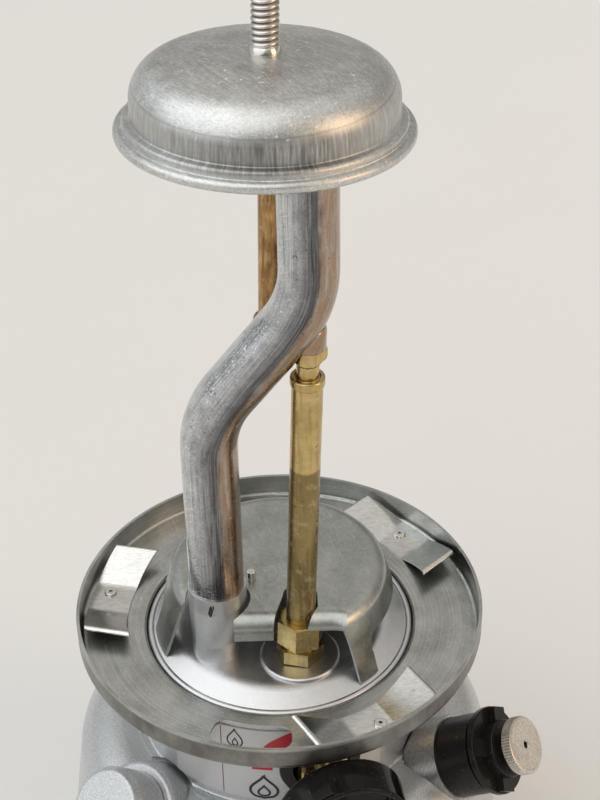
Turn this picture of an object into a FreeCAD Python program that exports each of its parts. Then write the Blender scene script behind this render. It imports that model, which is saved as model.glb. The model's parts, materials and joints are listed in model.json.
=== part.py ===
import FreeCAD, Part
import math
import os
import re

import Sketcher
from FreeCAD import Vector

# Single-mantle gasoline lantern without its globe: fount with pump, filler
# and valve, collar with globe rest, generator, air tube and burner dome.
# Millimetres and degrees. The origin is the middle of the foot, Z is up and
# the valve knob faces -Y.

doc = FreeCAD.newDocument("GasolineLantern")
sheet = doc.addObject("Spreadsheet::Sheet", "Sizes")

SIZES = {
    # Clearances
    "fit": 0.05,
    "running_gap": 0.35,
    "overrun": 1.0,
    # Fount: drawn steel, straight flared wall, rounded shoulder and foot
    "fount_height": 80.0,
    "fount_top_radius": 54.9,
    "fount_flare": 11.0,
    "fount_shoulder_round": 12.0,
    "fount_foot_round": 9.0,
    "fount_sheet": 0.8,
    "fount_foot_width": 16.4,
    "bottom_flange": 3.5,
    "bottom_rise": 3.2,
    "bottom_dish_width": 8.5,
    # Filler on the left front shoulder
    "filler_azimuth": -139.0,
    "filler_elevation": 45.0,
    "filler_seat_radius": 13.2,
    "filler_seat_rise": 0.5,
    "filler_seat_root_radius": 14.8,
    "filler_seat_depth": 14.0,
    "filler_seat_round": 1.6,
    "neck_radius": 8.8,
    "neck_wall": 1.5,
    "neck_rise": 8.0,
    "neck_flange_width": 2.4,
    "neck_flange_thickness": 0.8,
    "cap_radius": 10.7,
    "cap_top_radius": 9.6,
    "cap_height": 11.6,
    "cap_top_thickness": 1.5,
    "cap_skirt_gap": 0.4,
    "cap_round": 1.3,
    "cap_step": 2.4,
    "gasket_thickness": 1.4,
    "gasket_width": 2.4,
    "insert_thickness": 0.9,
    "insert_spigot": 1.6,
    # Pump, lying down through the fount from the right front shoulder
    "pump_azimuth": -25.0,
    "pump_elevation": 34.0,
    "pump_seat_angle": 60.0,
    "cylinder_radius": 8.5,
    "cylinder_wall": 0.5,
    "cylinder_depth": 92.0,
    "mouth_radius": 11.4,
    "mouth_wall": 0.7,
    "mouth_depth": 8.4,
    "mouth_rise": 1.6,
    "pump_cap_rise": 17.7,
    "pump_cap_wall": 1.5,
    "pump_cap_flange": 0.9,
    "pump_cap_shoulder": 11.4,
    "pump_cap_groove": 1.0,
    "pump_cap_nose_radius": 7.6,
    "pump_cap_ear_width": 4.6,
    "pump_cap_ear_count": 4,
    "pump_cap_ear_turn": 45.0,
    "rod_radius": 2.5,
    "rod_bore": 1.8,
    "rod_end_rise": 21.4,
    "rod_end_gap": 8.0,
    "cup_height": 6.0,
    "cup_thickness": 1.0,
    "cup_gap": 0.08,
    "retainer_thickness": 1.0,
    "retainer_radius": 5.2,
    "pump_knob_radius": 7.6,
    "pump_knob_thickness": 2.9,
    "pump_knob_face": 23.2,
    "pump_knob_hub_radius": 4.2,
    "pump_knob_hub_length": 1.2,
    "pump_knob_vent": 0.9,
    "pump_knob_round": 0.6,
    "stem_rod_radius": 1.4,
    "stem_rod_top_gap": 8.0,
    "check_valve_radius": 3.4,
    "check_valve_flange": 2.0,
    "check_valve_length": 8.0,
    "check_seat_depth": 3.6,
    "check_ball_radius": 1.3,
    "check_port_radius": 0.7,
    # Collar and label plate
    "collar_radius": 38.0,
    "collar_height": 30.9,
    "collar_sheet": 0.8,
    "collar_notch_gap": 0.4,
    "collar_foot_width": 2.2,
    "label_thickness": 0.3,
    "label_start": -137.0,
    "label_span": 88.0,
    "label_margin": 2.5,
    # Globe rest: dish with an upright rim and a stepped inner ledge
    "rim_radius": 53.5,
    "rest_depth": 7.1,
    "rest_sheet": 0.8,
    "rest_corner_round": 1.8,
    "ledge_radius": 36.0,
    "ledge_slope": 0.4,
    "lip_radius": 31.8,
    "lip_height": 3.7,
    "window_inner_radius": 39.6,
    "window_outer_radius": 47.4,
    "window_start": -114.0,
    "window_end": -87.0,
    "window_round": 3.2,
    "drain_radius": 2.0,
    "drain_length": 3.4,
    "drain_reach": 48.4,
    "drain_azimuth": -42.0,
    # Burner pan inside the rest
    "pan_rise": 2.3,
    "pan_sheet": 0.8,
    "pan_flat_radius": 28.0,
    "pan_edge_radius": 33.5,
    "pan_edge_drop": 2.85,
    "pan_round": 6.0,
    "bead_radius": 0.9,
    "bead_reach": 34.2,
    "bead_drop": 3.4,
    "boss_radius": 10.3,
    "boss_rise": 1.0,
    "boss_round": 0.7,
    # Air tube, and the pan's own stub whose flared end takes it
    "tube_radius": 6.9,
    "tube_wall": 0.4,
    "tube_x": -15.6,
    "tube_y": -13.6,
    "tube_offset": 24.5,
    "tube_yaw": -7.9,
    "tube_start": 14.4,
    "tube_first_bend": 70.4,
    "tube_second_bend": 103.8,
    "tube_bend_radius": 28.0,
    "tube_end_rise": 2.2,
    "stub_offset": 1.0,
    "stub_radius": 6.0,
    "stub_wall": 0.4,
    "stub_waist": 1.5,
    "stub_shoulder": 13.8,
    "stub_lip": 18.6,
    # Generator, leaning to the right
    "generator_x": 4.9,
    "generator_y": -17.0,
    "generator_lean": 2.06,
    "frame_nut_radius": 6.2,
    "frame_nut_thickness": 4.0,
    "frame_nut_gap": 0.25,
    "frame_nut_turn": 47.0,
    "generator_nut_flats": 10.6,
    "generator_nut_height": 7.5,
    "generator_nut_turn": 17.0,
    "generator_nut_collar_radius": 5.0,
    "generator_nut_collar_height": 0.8,
    "generator_nut_chamfer": 0.8,
    "generator_radius": 3.7,
    "generator_wall": 0.6,
    "generator_top": 84.5,
    "generator_flange_thickness": 1.3,
    "generator_bead_height": 2.5,
    "generator_bead_radius": 4.1,
    "generator_neck_radius": 2.65,
    "generator_neck_top": 99.5,
    "generator_neck_root": 3.5,
    "generator_jet_radius": 0.9,
    "bushing_low": 90.7,
    "bushing_high": 95.3,
    "bushing_bead_radius": 4.5,
    "bushing_radius": 4.0,
    "bushing_root": 5.2,
    "bushing_lead": 2.2,
    "needle_radius": 0.45,
    "needle_lift": 2.0,
    # Valve
    "valve_drop": 20.2,
    "valve_azimuth": -75.0,
    "barrel_radius": 6.2,
    "barrel_shoulder_gap": 1.1,
    "barrel_flange_radius": 9.0,
    "barrel_flange_thickness": 1.6,
    "barrel_flange_gap": 0.4,
    "barrel_shank_radius": 5.0,
    "barrel_shank_length": 6.4,
    "valve_neck_radius": 4.0,
    "valve_neck_rise": 8.0,
    "valve_bore": 1.4,
    "chamber_radius": 3.6,
    "chamber_low": 4.8,
    "chamber_high": 5.6,
    "branch_radius": 5.5,
    "branch_length": 16.0,
    "branch_thread_radius": 4.8,
    "branch_thread_length": 4.0,
    "packing_radius": 3.6,
    "packing_length": 3.6,
    "packing_nut_radius": 7.0,
    "packing_nut_start": 17.5,
    "packing_nut_length": 6.0,
    "packing_nut_chamfer": 0.7,
    "valve_stem_radius": 2.0,
    "valve_stem_end": 42.9,
    "crank_radius": 0.8,
    "crank_throw": 1.0,
    "yoke_radius": 3.0,
    "yoke_height": 5.6,
    "yoke_slot_width": 4.6,
    "pickup_radius": 2.5,
    "pickup_wall": 0.8,
    "pickup_socket": 3.6,
    "pickup_gap": 2.0,
    "knob_radius": 16.7,
    "knob_face_radius": 15.6,
    "knob_back": 32.4,
    "knob_thickness": 12.0,
    "knob_rim_back": 2.8,
    "knob_hub_radius": 4.2,
    "knob_wall": 1.5,
    "knob_recess": 6.0,
    "knob_round": 1.0,
    "grip_width": 5.0,
    "grip_height": 5.4,
    "grip_turn": 25.0,
    "knob_screw_radius": 1.2,
    "knob_screw_head_radius": 2.6,
    "knob_screw_head_height": 1.3,
    "knob_screw_length": 7.0,
    "grommet_radius": 9.4,
    "grommet_bore": 7.6,
    "grommet_flange": 1.2,
    "grommet_flange_thickness": 1.1,
    "grommet_inner_depth": 1.4,
    # Heat shield on the pan
    "shield_level": 19.8,
    "shield_sheet": 0.6,
    "shield_top_radius": 27.6,
    "shield_foot_radius": 33.0,
    "shield_foot_gap": 0.2,
    "shield_shoulder_round": 3.6,
    "shield_front_y": -22.6,
    "shield_leg_x": 16.0,
    "shield_leg_foot_x": 23.3,
    "shield_leg_foot_y": -28.6,
    "shield_bend_round": 4.6,
    "shield_corner_round": 8.0,
    "shield_notch_x": 5.3,
    "shield_notch_y": -13.5,
    "shield_notch_radius": 4.4,
    "shield_notch_left_x": -1.8,
    "shield_notch_right_x": 6.9,
    "shield_notch_turn_y": -18.0,
    "shield_tube_gap": 1.0,
    "shield_tube_side_x": -11.6,
    "shield_tongue_edge": 13.0,
    "shield_lobe_edge": 15.8,
    "shield_arch_level": 11.2,
    "shield_arch_round": 4.0,
    "shield_arch_right_start": -41.0,
    "shield_arch_right_end": 35.0,
    "shield_arch_back_start": 105.0,
    "shield_arch_back_end": 185.0,
    "shield_screw_x": -7.0,
    "shield_screw_y": -7.0,
    "shield_screw_radius": 1.15,
    "shield_screw_rise": 3.0,
    "shield_screw_depth": 2.0,
    # Spring clips that grip the globe
    "clip_left_azimuth": 166.0,
    "clip_right_azimuth": 43.0,
    "clip_front_azimuth": -59.0,
    "clip_reach": 47.0,
    "clip_sheet": 0.4,
    "clip_inner": 6.4,
    "clip_rim_gap": 0.1,
    "clip_flat_short": 2.6,
    "clip_flat_long": 7.6,
    "clip_wing_short": 15.5,
    "clip_wing_long": 19.0,
    "clip_rise": 4.4,
    "clip_curl": 0.6,
    "clip_bend": 5.0,
    "rivet_radius": 1.0,
    "rivet_head_radius": 1.7,
    "rivet_head_height": 0.6,
    "rivet_bore": 0.5,
    # Burner, which leans a little back and to the right
    "burner_lean_back": 4.2,
    "burner_lean_right": 1.4,
    "dome_base_level": 137.2,
    "dome_radius": 29.6,
    "dome_height": 18.3,
    "dome_sheet": 0.8,
    "dome_crown_flat": 14.0,
    "dome_crown_drop": 3.1,
    "dome_crown_round": 50.0,
    "dome_shoulder_round": 8.0,
    "dome_bead_radius": 31.4,
    "dome_bead_level": 4.7,
    "dome_bead_round": 0.8,
    "dome_rim_radius": 33.3,
    "dome_rim_height": 2.5,
    "dome_rim_wall": 1.3,
    "dome_rim_round": 1.1,
    "burner_offset": 2.4,
    "burner_radius": 4.2,
    "burner_wall": 0.8,
    "burner_length": 51.5,
    "burner_top_rise": 1.2,
    "tie_bead_radius": 5.45,
    "tie_bead_rise": 1.2,
    "tie_bead_height": 2.6,
    "screen_thickness": 0.4,
    "screen_lip": 1.6,
    "stud_radius": 3.175,
    "stud_rise": 31.0,
    "stud_depth": 7.0,
    "stud_foot_radius": 4.2,
    "stud_foot_height": 1.6,
    "stud_point": 0.8,
    "stud_nut_radius": 6.4,
    "stud_nut_height": 3.6,
    "stud_nut_gap": 0.1,
}

DERIVED = {
    "deg_per_rad": "180 / pi",
    "fount_base_radius": "fount_top_radius + fount_flare",
    "fount_lip_radius": "fount_base_radius - fount_foot_width",
    "bottom_dish_radius": "fount_lip_radius - bottom_dish_width",
    "shoulder_tangent": "fount_shoulder_round * (hypot(fount_flare; fount_height) - fount_flare)"
                        " / fount_height",
    "shoulder_centre": "fount_top_radius - shoulder_tangent",
    "shoulder_level": "fount_height - fount_shoulder_round",
    "rest_level": "fount_height + collar_height",
    "rest_face": "rest_level + rest_sheet",
    "rim_level": "rest_level + rest_depth",
    "pan_face": "rest_face + pan_rise",
    "pan_under": "pan_face - pan_sheet",
    "boss_face": "pan_face + boss_rise",
    "bead_level": "pan_face - bead_drop",
    "ledge_face": "bead_level - bead_radius",
    "shield_face": "rest_face + shield_level",
    "shield_foot": "pan_face - pan_edge_drop * (shield_foot_radius - shield_sheet - pan_flat_radius)"
                   " / (pan_edge_radius - pan_flat_radius) + shield_foot_gap",
    "dome_base": "rim_level + dome_base_level",
    "tube_base": "rim_level + tube_start",
    "tube_bore": "tube_radius - tube_wall",
    "socket_radius": "tube_radius + fit + stub_wall",
    "neck_top": "fount_shoulder_round + neck_rise",
    "filler_seat_top": "fount_shoulder_round + filler_seat_rise",
    "gasket_low": "neck_top + running_gap",
    "gasket_high": "gasket_low + gasket_thickness",
    "insert_high": "gasket_high + insert_thickness",
    "cap_under": "insert_high + running_gap",
    "cap_face": "cap_under + cap_top_thickness",
    "cap_skirt_bore": "neck_radius + cap_skirt_gap",
    "cylinder_bore": "cylinder_radius - cylinder_wall",
    "mouth_bore": "mouth_radius - mouth_wall",
    "pump_cap_radius": "mouth_bore - fit",
    "pump_cap_bore": "rod_radius + running_gap",
    "rod_end": "-cylinder_depth + rod_end_gap",
    "cup_face": "rod_end + retainer_thickness + cup_thickness + overrun",
    "stem_rod_top": "-mouth_depth - stem_rod_top_gap",
    "nut_collar_low": "frame_nut_gap + frame_nut_thickness",
    "nut_low": "nut_collar_low + generator_nut_collar_height",
    "nut_high": "nut_low + generator_nut_height",
    "nut_radius": "generator_nut_flats / sqrt(3)",
    "generator_low": "valve_neck_rise + fit",
    "generator_head": "generator_top + generator_bead_height",
    "generator_bore": "generator_radius - generator_wall",
    "neck_root": "generator_top - generator_neck_root",
    "barrel_low": "fount_height - boss_face + barrel_flange_gap",
    "shank_low": "barrel_low - barrel_shank_length",
    "branch_end": "branch_length + branch_thread_length",
    "packing_start": "branch_end - packing_length - fit",
    "knob_face": "knob_back + knob_thickness",
    "knob_floor": "knob_face - knob_recess",
    "grip_face": "knob_floor + grip_height",
    "pickup_high": "shank_low + pickup_socket",
    "pickup_low": "fount_sheet + bottom_rise + pickup_gap - boss_face",
    "yoke_low": "-valve_drop - crank_throw - yoke_height / 2",
    "yoke_slot_height": "2 * (crank_radius + running_gap)",
    "burner_top": "dome_sheet + burner_top_rise",
    "burner_low": "burner_top - burner_length",
    "dome_under": "dome_height - dome_sheet",
    "lantern_frame": "placement(vector(0; 0; 0); rotation(0; 0; 0))",
    "generator_frame": "placement(vector(generator_x; generator_y; boss_face);"
                       " rotation(0; generator_lean; 0))",
    "valve_frame": "generator_frame * placement(vector(0; 0; -valve_drop);"
                   " rotation(valve_azimuth; 90; 0))",
    "filler_frame": "placement(vector(shoulder_centre * cos(filler_azimuth);"
                    " shoulder_centre * sin(filler_azimuth); shoulder_level);"
                    " rotation(filler_azimuth; 90 - filler_elevation; 0))",
    "pump_reach": "shoulder_centre + fount_shoulder_round * cos(pump_seat_angle)",
    "pump_frame": "placement(vector(pump_reach * cos(pump_azimuth); pump_reach * sin(pump_azimuth);"
                  " shoulder_level + fount_shoulder_round * sin(pump_seat_angle));"
                  " rotation(pump_azimuth; 90 - pump_elevation; 0))",
    "tube_frame": "placement(vector(tube_x; tube_y; 0); rotation(tube_yaw; 0; 0))",
    "dome_frame": "placement(vector(0; 0; dome_base);"
                  " rotation(0; burner_lean_right; -burner_lean_back))",
    "burner_frame": "dome_frame * placement(vector(burner_offset; 0; 0); rotation(0; 0; 0))",
}

WORD = re.compile(r"[A-Za-z_]\w*")
CLIP_HANDS = {"left": -1, "right": 1, "front": 1}

for row, (alias, value) in enumerate(SIZES.items(), start=1):
    sheet.set(f"A{row}", alias)
    sheet.set(f"B{row}", str(value))
    sheet.setAlias(f"B{row}", alias)
doc.recompute()


# An expression in the names above, written out for the spreadsheet
def bind(text):
    def swap(match):
        word = match.group(0)
        if word in SIZES:
            return "Sizes." + word
        if word in DERIVED:
            return "(" + bind(DERIVED[word]) + ")"
        return word
    return WORD.sub(swap, text)


def size(text):
    return float(sheet.evalExpression(bind(text)))


def moved(frame, across="0", along="0", up="0", turn="0"):
    return f"{frame} * placement(vector({across}; {along}; {up}); rotation({turn}; 0; 0))"


def place(piece, placement):
    piece.setExpression("Placement", bind(placement))
    return piece


def rod(label, frame, radius, low, high, angle=None):
    piece = doc.addObject("Part::Cylinder", label)
    piece.setExpression("Radius", bind(radius))
    piece.setExpression("Height", bind(f"({high}) - ({low})"))
    if angle:
        piece.setExpression("Angle", bind(angle))
    return place(piece, moved(frame, up=low))


def hexagon(label, frame, radius, low, high, turn="0"):
    piece = doc.addObject("Part::Prism", label)
    piece.Polygon = 6
    piece.setExpression("Circumradius", bind(radius))
    piece.setExpression("Height", bind(f"({high}) - ({low})"))
    return place(piece, moved(frame, up=low, turn=turn))


# A block from one corner to the opposite one
def block(label, frame, low, high):
    piece = doc.addObject("Part::Box", label)
    for side, first, last in zip(("Length", "Width", "Height"), low, high):
        piece.setExpression(side, bind(f"({last}) - ({first})"))
    return place(piece, moved(frame, *low))


def fuse(label, *pieces):
    joined = doc.addObject("Part::MultiFuse", label)
    joined.Shapes = list(pieces)
    return joined


def common(label, *pieces):
    shared = doc.addObject("Part::MultiCommon", label)
    shared.Shapes = list(pieces)
    return shared


def cut(label, base, *tools):
    result = doc.addObject("Part::Cut", label)
    result.Base = base
    result.Tool = tools[0] if len(tools) == 1 else fuse(label + "_tools", *tools)
    return result


def new_body(label, frame):
    body = doc.addObject("PartDesign::Body", label)
    return place(body, frame)


def sketch_on(body, role, label):
    sketch = body.newObject("Sketcher::SketchObject", label)
    plane = next(item for item in body.Origin.OriginFeatures if item.Role == role)
    sketch.AttachmentSupport = (plane, [""])
    sketch.MapMode = "FlatFace"
    return sketch


# Line from corner to corner, with a tangent arc at each corner that has a round.
# A corner is (across, up) or (across, up, round).
def outline(sketch, corners, closed=True):
    points = [Vector(size(corner[0]), size(corner[1]), 0) for corner in corners]
    count = len(points)
    pins = []
    rules = []
    entry = {}
    leave = {}

    def rule(kind, *places, text=None):
        value = [size(text)] if text else []
        rules.append((Sketcher.Constraint(kind, *places, *value), text))

    def pin(index, vertex, corner):
        for kind, axis, text in (("DistanceX", -2, corner[0]), ("DistanceY", -1, corner[1])):
            if text == "0":
                rule("PointOnObject", index, vertex, axis)
            else:
                rule(kind, -1, 1, index, vertex, text=text)

    for number, corner in enumerate(corners):
        here = points[number]
        if len(corner) < 3:
            entry[number] = leave[number] = (here, None, None)
            continue
        before = (points[number - 1] - here).normalize()
        after = (points[(number + 1) % count] - here).normalize()
        radius = size(corner[2])
        half = before.getAngle(after) / 2
        middle = here + (before + after).normalize() * (radius / math.sin(half))
        first = here + before * (radius / math.tan(half))
        last = here + after * (radius / math.tan(half))
        left_turn = before.cross(after).z < 0
        ends = (first, last) if left_turn else (last, first)
        angles = [math.atan2(end.y - middle.y, end.x - middle.x) for end in ends]
        circle = Part.Circle(middle, Vector(0, 0, 1), radius)
        arc = sketch.addGeometry(Part.ArcOfCircle(circle, angles[0], angles[1]), False)
        point = sketch.addGeometry(Part.Point(here), True)
        entry[number] = (first, arc, 1 if left_turn else 2)
        leave[number] = (last, arc, 2 if left_turn else 1)
        rule("Radius", arc, text=corner[2])
        pins.append((point, 1, corner))
        entry[number] += (point,)
        leave[number] += (point,)

    sides = range(count if closed else count - 1)
    lines = {}
    for number in sides:
        other = (number + 1) % count
        lines[number] = sketch.addGeometry(Part.LineSegment(leave[number][0], entry[other][0]), False)
    for number in sides:
        other = (number + 1) % count
        line = lines[number]
        for vertex, end, at in ((1, leave[number], number), (2, entry[other], other)):
            if end[1] is not None:
                rule("Tangent", line, vertex, end[1], end[2])
                rule("PointOnObject", end[3], 1, line)
            elif vertex == 1 or not (closed or other < count - 1):
                pins.append((line, vertex, corners[at]))
            if end[1] is None and vertex == 2 and other in lines:
                rule("Coincident", line, 2, lines[other], 1)
    for index, vertex, corner in pins:
        pin(index, vertex, corner)
    numbers = sketch.addConstraint([item for item, text in rules])
    for number, (item, text) in zip(numbers, rules):
        if text:
            sketch.setExpression(f"Constraints[{number}]", bind(text))


def turned(label, frame, corners, angle=None):
    body = new_body(label, frame)
    profile = sketch_on(body, "XZ_Plane", label + "_profile")
    outline(profile, corners)
    turn = body.newObject("PartDesign::Revolution", label + "_turn")
    turn.Profile = profile
    turn.ReferenceAxis = (profile, ["V_Axis"])
    turn.Angle = 360
    if angle:
        turn.setExpression("Angle", bind(angle))
    return body


def padded(label, frame, role, corners, length):
    body = new_body(label, frame)
    profile = sketch_on(body, role, label + "_profile")
    outline(profile, corners)
    pad = body.newObject("PartDesign::Pad", label + "_pad")
    pad.Profile = profile
    pad.setExpression("Length", bind(length))
    return body


# A ring or rod that follows the air tube's two bends
def bent_tube(label, outer, inner=None):
    body = new_body(label, moved("tube_frame", up="tube_base"))
    section = sketch_on(body, "XY_Plane", label + "_section")
    for radius in filter(None, (outer, inner)):
        ring = section.addGeometry(Part.Circle(Vector(0, 0, 0), Vector(0, 0, 1), size(radius)), False)
        rules = [Sketcher.Constraint("Coincident", ring, 3, -1, 1),
                 Sketcher.Constraint("Radius", ring, size(radius))]
        numbers = section.addConstraint(rules)
        section.setExpression(f"Constraints[{numbers[1]}]", bind(radius))
    route = sketch_on(body, "XZ_Plane", label + "_route")
    outline(route, [
        ("0", "0"),
        ("0", "tube_first_bend - tube_start", "tube_bend_radius"),
        ("tube_offset", "tube_second_bend - tube_start", "tube_bend_radius"),
        ("tube_offset", "dome_base + dome_sheet + tube_end_rise - tube_base"),
    ], closed=False)
    sweep = body.newObject("PartDesign::AdditivePipe", label + "_sweep")
    sweep.Profile = section
    sweep.Spine = (route, [f"Edge{number}" for number in range(1, 6)])
    return body


def fount_shell():
    outside = turned("fount_skin", "lantern_frame", [
        ("0", "fount_height"),
        ("fount_top_radius", "fount_height", "fount_shoulder_round"),
        ("fount_base_radius", "0", "fount_foot_round"),
        ("fount_lip_radius", "0"),
        ("fount_lip_radius", "fount_sheet"),
        ("fount_base_radius - fount_sheet", "fount_sheet", "fount_foot_round - fount_sheet"),
        ("fount_top_radius - fount_sheet", "fount_height - fount_sheet",
         "fount_shoulder_round - fount_sheet"),
        ("0", "fount_height - fount_sheet"),
    ])
    opened = cut("fount_skin_open", outside,
                 rod("filler_opening", "filler_frame", "filler_seat_radius - fount_sheet",
                     "0", "2 * fount_shoulder_round"))
    seat = turned("filler_seat", "filler_frame", [
        ("neck_radius + fit", "filler_seat_top"),
        ("filler_seat_radius", "filler_seat_top", "filler_seat_round"),
        ("filler_seat_root_radius", "filler_seat_top - filler_seat_depth"),
        ("filler_seat_root_radius - fount_sheet", "filler_seat_top - filler_seat_depth"),
        ("filler_seat_radius - fount_sheet", "filler_seat_top - fount_sheet",
         "filler_seat_round - fount_sheet"),
        ("neck_radius + fit", "filler_seat_top - fount_sheet"),
    ])
    return cut("fount_shell", fuse("fount_skin_seat", opened, seat),
               rod("pump_mouth_opening", "pump_frame", "mouth_radius + fit", "-mouth_depth",
                   "fount_shoulder_round"),
               rod("pump_cylinder_opening", "pump_frame", "cylinder_radius + fit",
                   "-2 * fount_shoulder_round", "0"),
               rod("valve_opening", "generator_frame", "barrel_shank_radius + fit",
                   "shank_low", "barrel_low + overrun"))


def fount_bottom():
    flange = "fount_lip_radius + bottom_flange"
    return turned("fount_bottom", "lantern_frame", [
        ("0", "fount_sheet + bottom_rise"),
        ("bottom_dish_radius", "fount_sheet + bottom_rise", "bottom_flange"),
        ("fount_lip_radius - fount_sheet", "2 * fount_sheet", "bottom_flange / 2"),
        (flange, "2 * fount_sheet"),
        (flange, "fount_sheet"),
        ("fount_lip_radius - 2 * fount_sheet", "fount_sheet", "bottom_flange / 2"),
        ("bottom_dish_radius - fount_sheet", "bottom_rise", "bottom_flange"),
        ("0", "bottom_rise"),
    ])


def filler_neck():
    flange_low = "filler_seat_top - fount_sheet - neck_flange_thickness"
    return turned("filler_neck", "filler_frame", [
        ("neck_radius - neck_wall", "neck_top"),
        ("neck_radius", "neck_top", "neck_wall / 3"),
        ("neck_radius", "filler_seat_top - fount_sheet"),
        ("neck_radius + neck_flange_width", "filler_seat_top - fount_sheet"),
        ("neck_radius + neck_flange_width", flange_low),
        ("neck_radius - neck_wall", flange_low),
    ])


def filler_gasket():
    return turned("filler_gasket", "filler_frame", [
        ("neck_radius - gasket_width", "gasket_low"),
        ("neck_radius", "gasket_low"),
        ("neck_radius", "gasket_high"),
        ("neck_radius - gasket_width", "gasket_high"),
    ])


def cap_insert():
    spigot = "neck_radius - gasket_width - fit"
    return turned("cap_insert", "filler_frame", [
        ("0", "gasket_high - insert_spigot"),
        (spigot, "gasket_high - insert_spigot"),
        (spigot, "gasket_high"),
        ("neck_radius", "gasket_high"),
        ("neck_radius", "insert_high"),
        ("0", "insert_high"),
    ])


def filler_cap():
    foot = "cap_face - cap_height"
    return turned("filler_cap", "filler_frame", [
        ("0", "cap_face"),
        ("cap_top_radius", "cap_face", "cap_round"),
        ("cap_radius", "cap_face - cap_step", "cap_round / 2"),
        ("cap_radius", foot),
        ("cap_skirt_bore", foot),
        ("cap_skirt_bore", "cap_under"),
        ("0", "cap_under"),
    ])


def pump_cylinder():
    end = "-cylinder_depth"
    step = "-mouth_depth"
    return turned("pump_cylinder", "pump_frame", [
        ("check_valve_radius + fit", end),
        ("cylinder_radius", end),
        ("cylinder_radius", step),
        ("mouth_radius", step),
        ("mouth_radius", "mouth_rise"),
        ("mouth_bore", "mouth_rise"),
        ("mouth_bore", "-mouth_depth + cylinder_wall"),
        ("cylinder_bore", "-mouth_depth + cylinder_wall"),
        ("cylinder_bore", "-cylinder_depth + cylinder_wall"),
        ("check_valve_radius + fit", "-cylinder_depth + cylinder_wall"),
    ])


def check_valve():
    seat = "-cylinder_depth + cylinder_wall"
    low = "-cylinder_depth - check_valve_length"
    ball_low = "-cylinder_depth - check_seat_depth - 3 * check_ball_radius"
    ball_high = "-cylinder_depth - check_seat_depth"
    return turned("check_valve", "pump_frame", [
        ("stem_rod_radius + fit", f"{seat} + check_valve_flange"),
        ("check_valve_radius + check_valve_flange", f"{seat} + check_valve_flange"),
        ("check_valve_radius + check_valve_flange", seat),
        ("check_valve_radius", seat),
        ("check_valve_radius", low),
        ("check_port_radius", low),
        ("check_port_radius", ball_low),
        ("check_ball_radius + running_gap", ball_low),
        ("check_ball_radius + running_gap", ball_high),
        ("check_port_radius", ball_high),
        ("check_port_radius", "-cylinder_depth"),
        ("stem_rod_radius + fit", "-cylinder_depth"),
    ])


def check_ball():
    ball = doc.addObject("Part::Sphere", "check_ball")
    ball.setExpression("Radius", bind("check_ball_radius"))
    low = "-cylinder_depth - check_seat_depth - 3 * check_ball_radius + check_ball_radius + fit"
    return place(ball, moved("pump_frame", up=low))


def air_stem():
    tip = "-cylinder_depth + fit + stem_rod_radius"
    return turned("air_stem", "pump_frame", [
        ("0", "-cylinder_depth + fit"),
        ("stem_rod_radius", tip),
        ("stem_rod_radius", "stem_rod_top"),
        ("0", "stem_rod_top"),
    ])


def pump_rod():
    return turned("pump_rod", "pump_frame", [
        ("rod_bore", "rod_end"),
        ("rod_radius", "rod_end"),
        ("rod_radius", "rod_end_rise"),
        ("rod_bore", "rod_end_rise"),
    ])


def pump_cup():
    skirt = "cylinder_bore - cup_gap"
    return turned("pump_cup", "pump_frame", [
        ("rod_radius + fit", "cup_face"),
        (skirt, "cup_face", "cup_thickness * 1.5"),
        (skirt, "cup_face - cup_height"),
        (f"{skirt} - cup_thickness", "cup_face - cup_height"),
        (f"{skirt} - cup_thickness", "cup_face - cup_thickness", "cup_thickness / 2"),
        ("rod_radius + fit", "cup_face - cup_thickness"),
    ])


def cup_retainer():
    high = "cup_face - cup_thickness"
    return turned("cup_retainer", "pump_frame", [
        ("rod_radius + fit", f"{high} - retainer_thickness"),
        ("retainer_radius", f"{high} - retainer_thickness"),
        ("retainer_radius", high),
        ("rod_radius + fit", high),
    ])


def pump_cap():
    low = "-mouth_depth + cylinder_wall + fit"
    web = "pump_cap_shoulder - pump_cap_wall"
    flange = "pump_cap_radius + pump_cap_flange"
    groove_top = "pump_cap_shoulder + pump_cap_groove"
    nose = "pump_cap_nose_radius"
    flange_top = "pump_cap_rise - 2 * pump_cap_groove - pump_cap_wall"
    shell = turned("pump_cap_shell", "pump_frame", [
        ("pump_cap_bore", low),
        ("pump_cap_bore + pump_cap_wall", low),
        ("pump_cap_bore + pump_cap_wall", web),
        ("pump_cap_radius - pump_cap_wall", web),
        ("pump_cap_radius - pump_cap_wall", low),
        ("pump_cap_radius", low),
        ("pump_cap_radius", "pump_cap_shoulder"),
        ("pump_cap_radius - pump_cap_groove", "pump_cap_shoulder"),
        ("pump_cap_radius - pump_cap_groove", groove_top),
        (flange, groove_top, "pump_cap_groove / 3"),
        (flange, flange_top, "pump_cap_groove / 3"),
        (nose, flange_top),
        (nose, "pump_cap_rise", "pump_cap_groove / 2"),
        ("pump_cap_bore", "pump_cap_rise"),
    ])
    ears = []
    for number in range(int(SIZES["pump_cap_ear_count"])):
        frame = moved("pump_frame", turn=f"{number} * 360 / pump_cap_ear_count + pump_cap_ear_turn")
        ears.append(block(f"pump_cap_ear_{number + 1}", frame,
                          (f"{nose} - pump_cap_wall", "-pump_cap_ear_width / 2", f"{flange_top} - fit"),
                          (f"{flange} - pump_cap_groove / 2", "pump_cap_ear_width / 2",
                           "pump_cap_rise - pump_cap_wall")))
    return fuse("pump_cap", shell, *ears)


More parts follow.
